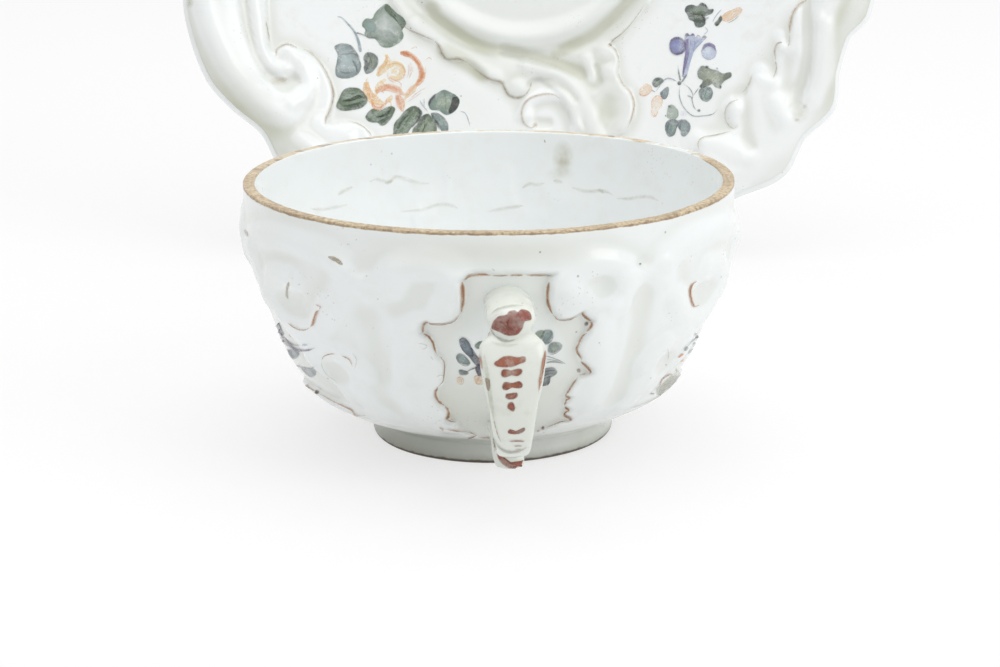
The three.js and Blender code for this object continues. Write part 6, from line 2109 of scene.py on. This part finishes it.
CLIP_NEAR = 10 * MM
CLIP_FAR = 20000 * MM
LIGHT_AIM = (0, 0, 60 * MM)

# Name, place and size in metres, power
LIGHTS = (
    ("overhead", (0.05, 0.1, 1.3), (1.6, 1.4), 9.5),
    ("key_right", (1.1, -0.7, 0.9), (0.9, 0.9), 6),
    ("fill_left", (-1.1, -0.8, 0.6), (0.8, 0.9), 1.2),
)
ROOM_STRENGTH = 0.6
FLOOR_HALF = 3000 * MM
FLOOR_GREY = (0.9, 0.9, 0.9, 1)
FLOOR_WHITE_SHARE = 0.67
PLAIN_WHITE = (1, 1, 1, 1)


def camera():
    data = bpy.data.cameras.new("camera")
    data.sensor_width = SENSOR_WIDTH
    data.lens = FOCAL_PIXELS / PICTURE_WIDTH * SENSOR_WIDTH
    data.shift_x = (PICTURE_WIDTH / 2 - AIM_PIXEL[0]) / PICTURE_WIDTH
    data.shift_y = (AIM_PIXEL[1] - PICTURE_HEIGHT / 2) / PICTURE_WIDTH
    data.clip_start = CLIP_NEAR
    data.clip_end = CLIP_FAR
    made = linked("camera", data)
    right, up, forward = camera_axes()
    tilt = Matrix((right, up, -forward)).transposed().to_4x4()
    roll = Matrix.Rotation(CAMERA_ROLL, 4, "Z")
    made.matrix_world = Matrix.Translation(camera_place()) @ tilt @ roll
    bpy.context.scene.camera = made


def lights():
    for name, place, size, power in LIGHTS:
        data = bpy.data.lights.new(name, "AREA")
        data.shape = "RECTANGLE"
        data.size, data.size_y = size
        data.energy = power
        made = linked(name, data)
        made.location = place
        made.rotation_mode = "QUATERNION"
        made.rotation_quaternion = (Vector(LIGHT_AIM) - Vector(place)).to_track_quat("-Z", "Y")


def seen_straight(n):
    """1 for rays from the camera, and for those that mirror or pass through to it."""
    path = n.add("ShaderNodeLightPath")
    mirrored_too = n.most(path.outputs["Is Camera Ray"], path.outputs["Is Glossy Ray"])
    return n.most(mirrored_too, path.outputs["Is Transmission Ray"])


def shown_as(n, share, lighting, shown):
    """One shader that lights the object, and another as far as the share goes, for what the camera sees."""
    mix = n.fed("ShaderNodeMixShader", {0: share, 1: lighting.outputs[0], 2: shown.outputs[0]})
    n.feed(n.out.inputs[0], mix.outputs[0])


def world():
    made = bpy.data.worlds.new("white_room")
    n = Nodes(made, "ShaderNodeOutputWorld")
    lit, seen = (n.fed("ShaderNodeBackground", {"Color": PLAIN_WHITE, "Strength": strength})
                 for strength in (ROOM_STRENGTH, 1.0))
    shown_as(n, seen_straight(n), lit, seen)
    bpy.context.scene.world = made


def floor():
    mesh = bpy.data.meshes.new("floor")
    corners = [(x, y, 0) for x, y in ((-FLOOR_HALF, -FLOOR_HALF), (FLOOR_HALF, -FLOOR_HALF),
                                      (FLOOR_HALF, FLOOR_HALF), (-FLOOR_HALF, FLOOR_HALF))]
    mesh.from_pydata(corners, [], [(0, 1, 2, 3)])
    made = linked("floor", mesh)
    n = new_nodes("floor")
    grey = n.fed("ShaderNodeBsdfDiffuse", {"Color": FLOOR_GREY})
    shown_as(n, n.times(seen_straight(n), FLOOR_WHITE_SHARE), grey, n.add("ShaderNodeEmission"))
    mesh.materials.append(n.holder)


# Putting it together

saucer_nodes = new_nodes("saucer_glaze")
saucer_glaze = saucer_nodes.finished(*glazed(saucer_nodes, SAUCER_WHITE, SAUCER_CREAM_AND_SHADE))
# Painted shade: the handles' glaze is a greyer copy of the bowl's white
handle_nodes = new_nodes("handle_glaze")
handle_glaze = handle_nodes.finished(*glazed(handle_nodes, HANDLE_SHADED_WHITE, HANDLE_SHADED_CREAM, HANDLE_MOTTLE))
foot_glaze = foot_material()

bowl = bowl_piece(bowl_material())
cup_foot(foot_glaze)
front_handle = handle_piece("front_handle", 0, handle_glaze)
rear_handle = handle_piece("rear_handle", math.pi, handle_glaze)
dish = saucer_piece(saucer_glaze)
saucer_foot(foot_glaze)
paint_cup(bowl)
paint_handle("front_handle_painting", front_handle, CUP_TURNS[0])
paint_handle("rear_handle_painting", rear_handle, CUP_TURNS[1])
paint_saucer(dish)

camera()
lights()
world()
floor()
bpy.context.scene.view_settings.view_transform = "Standard"
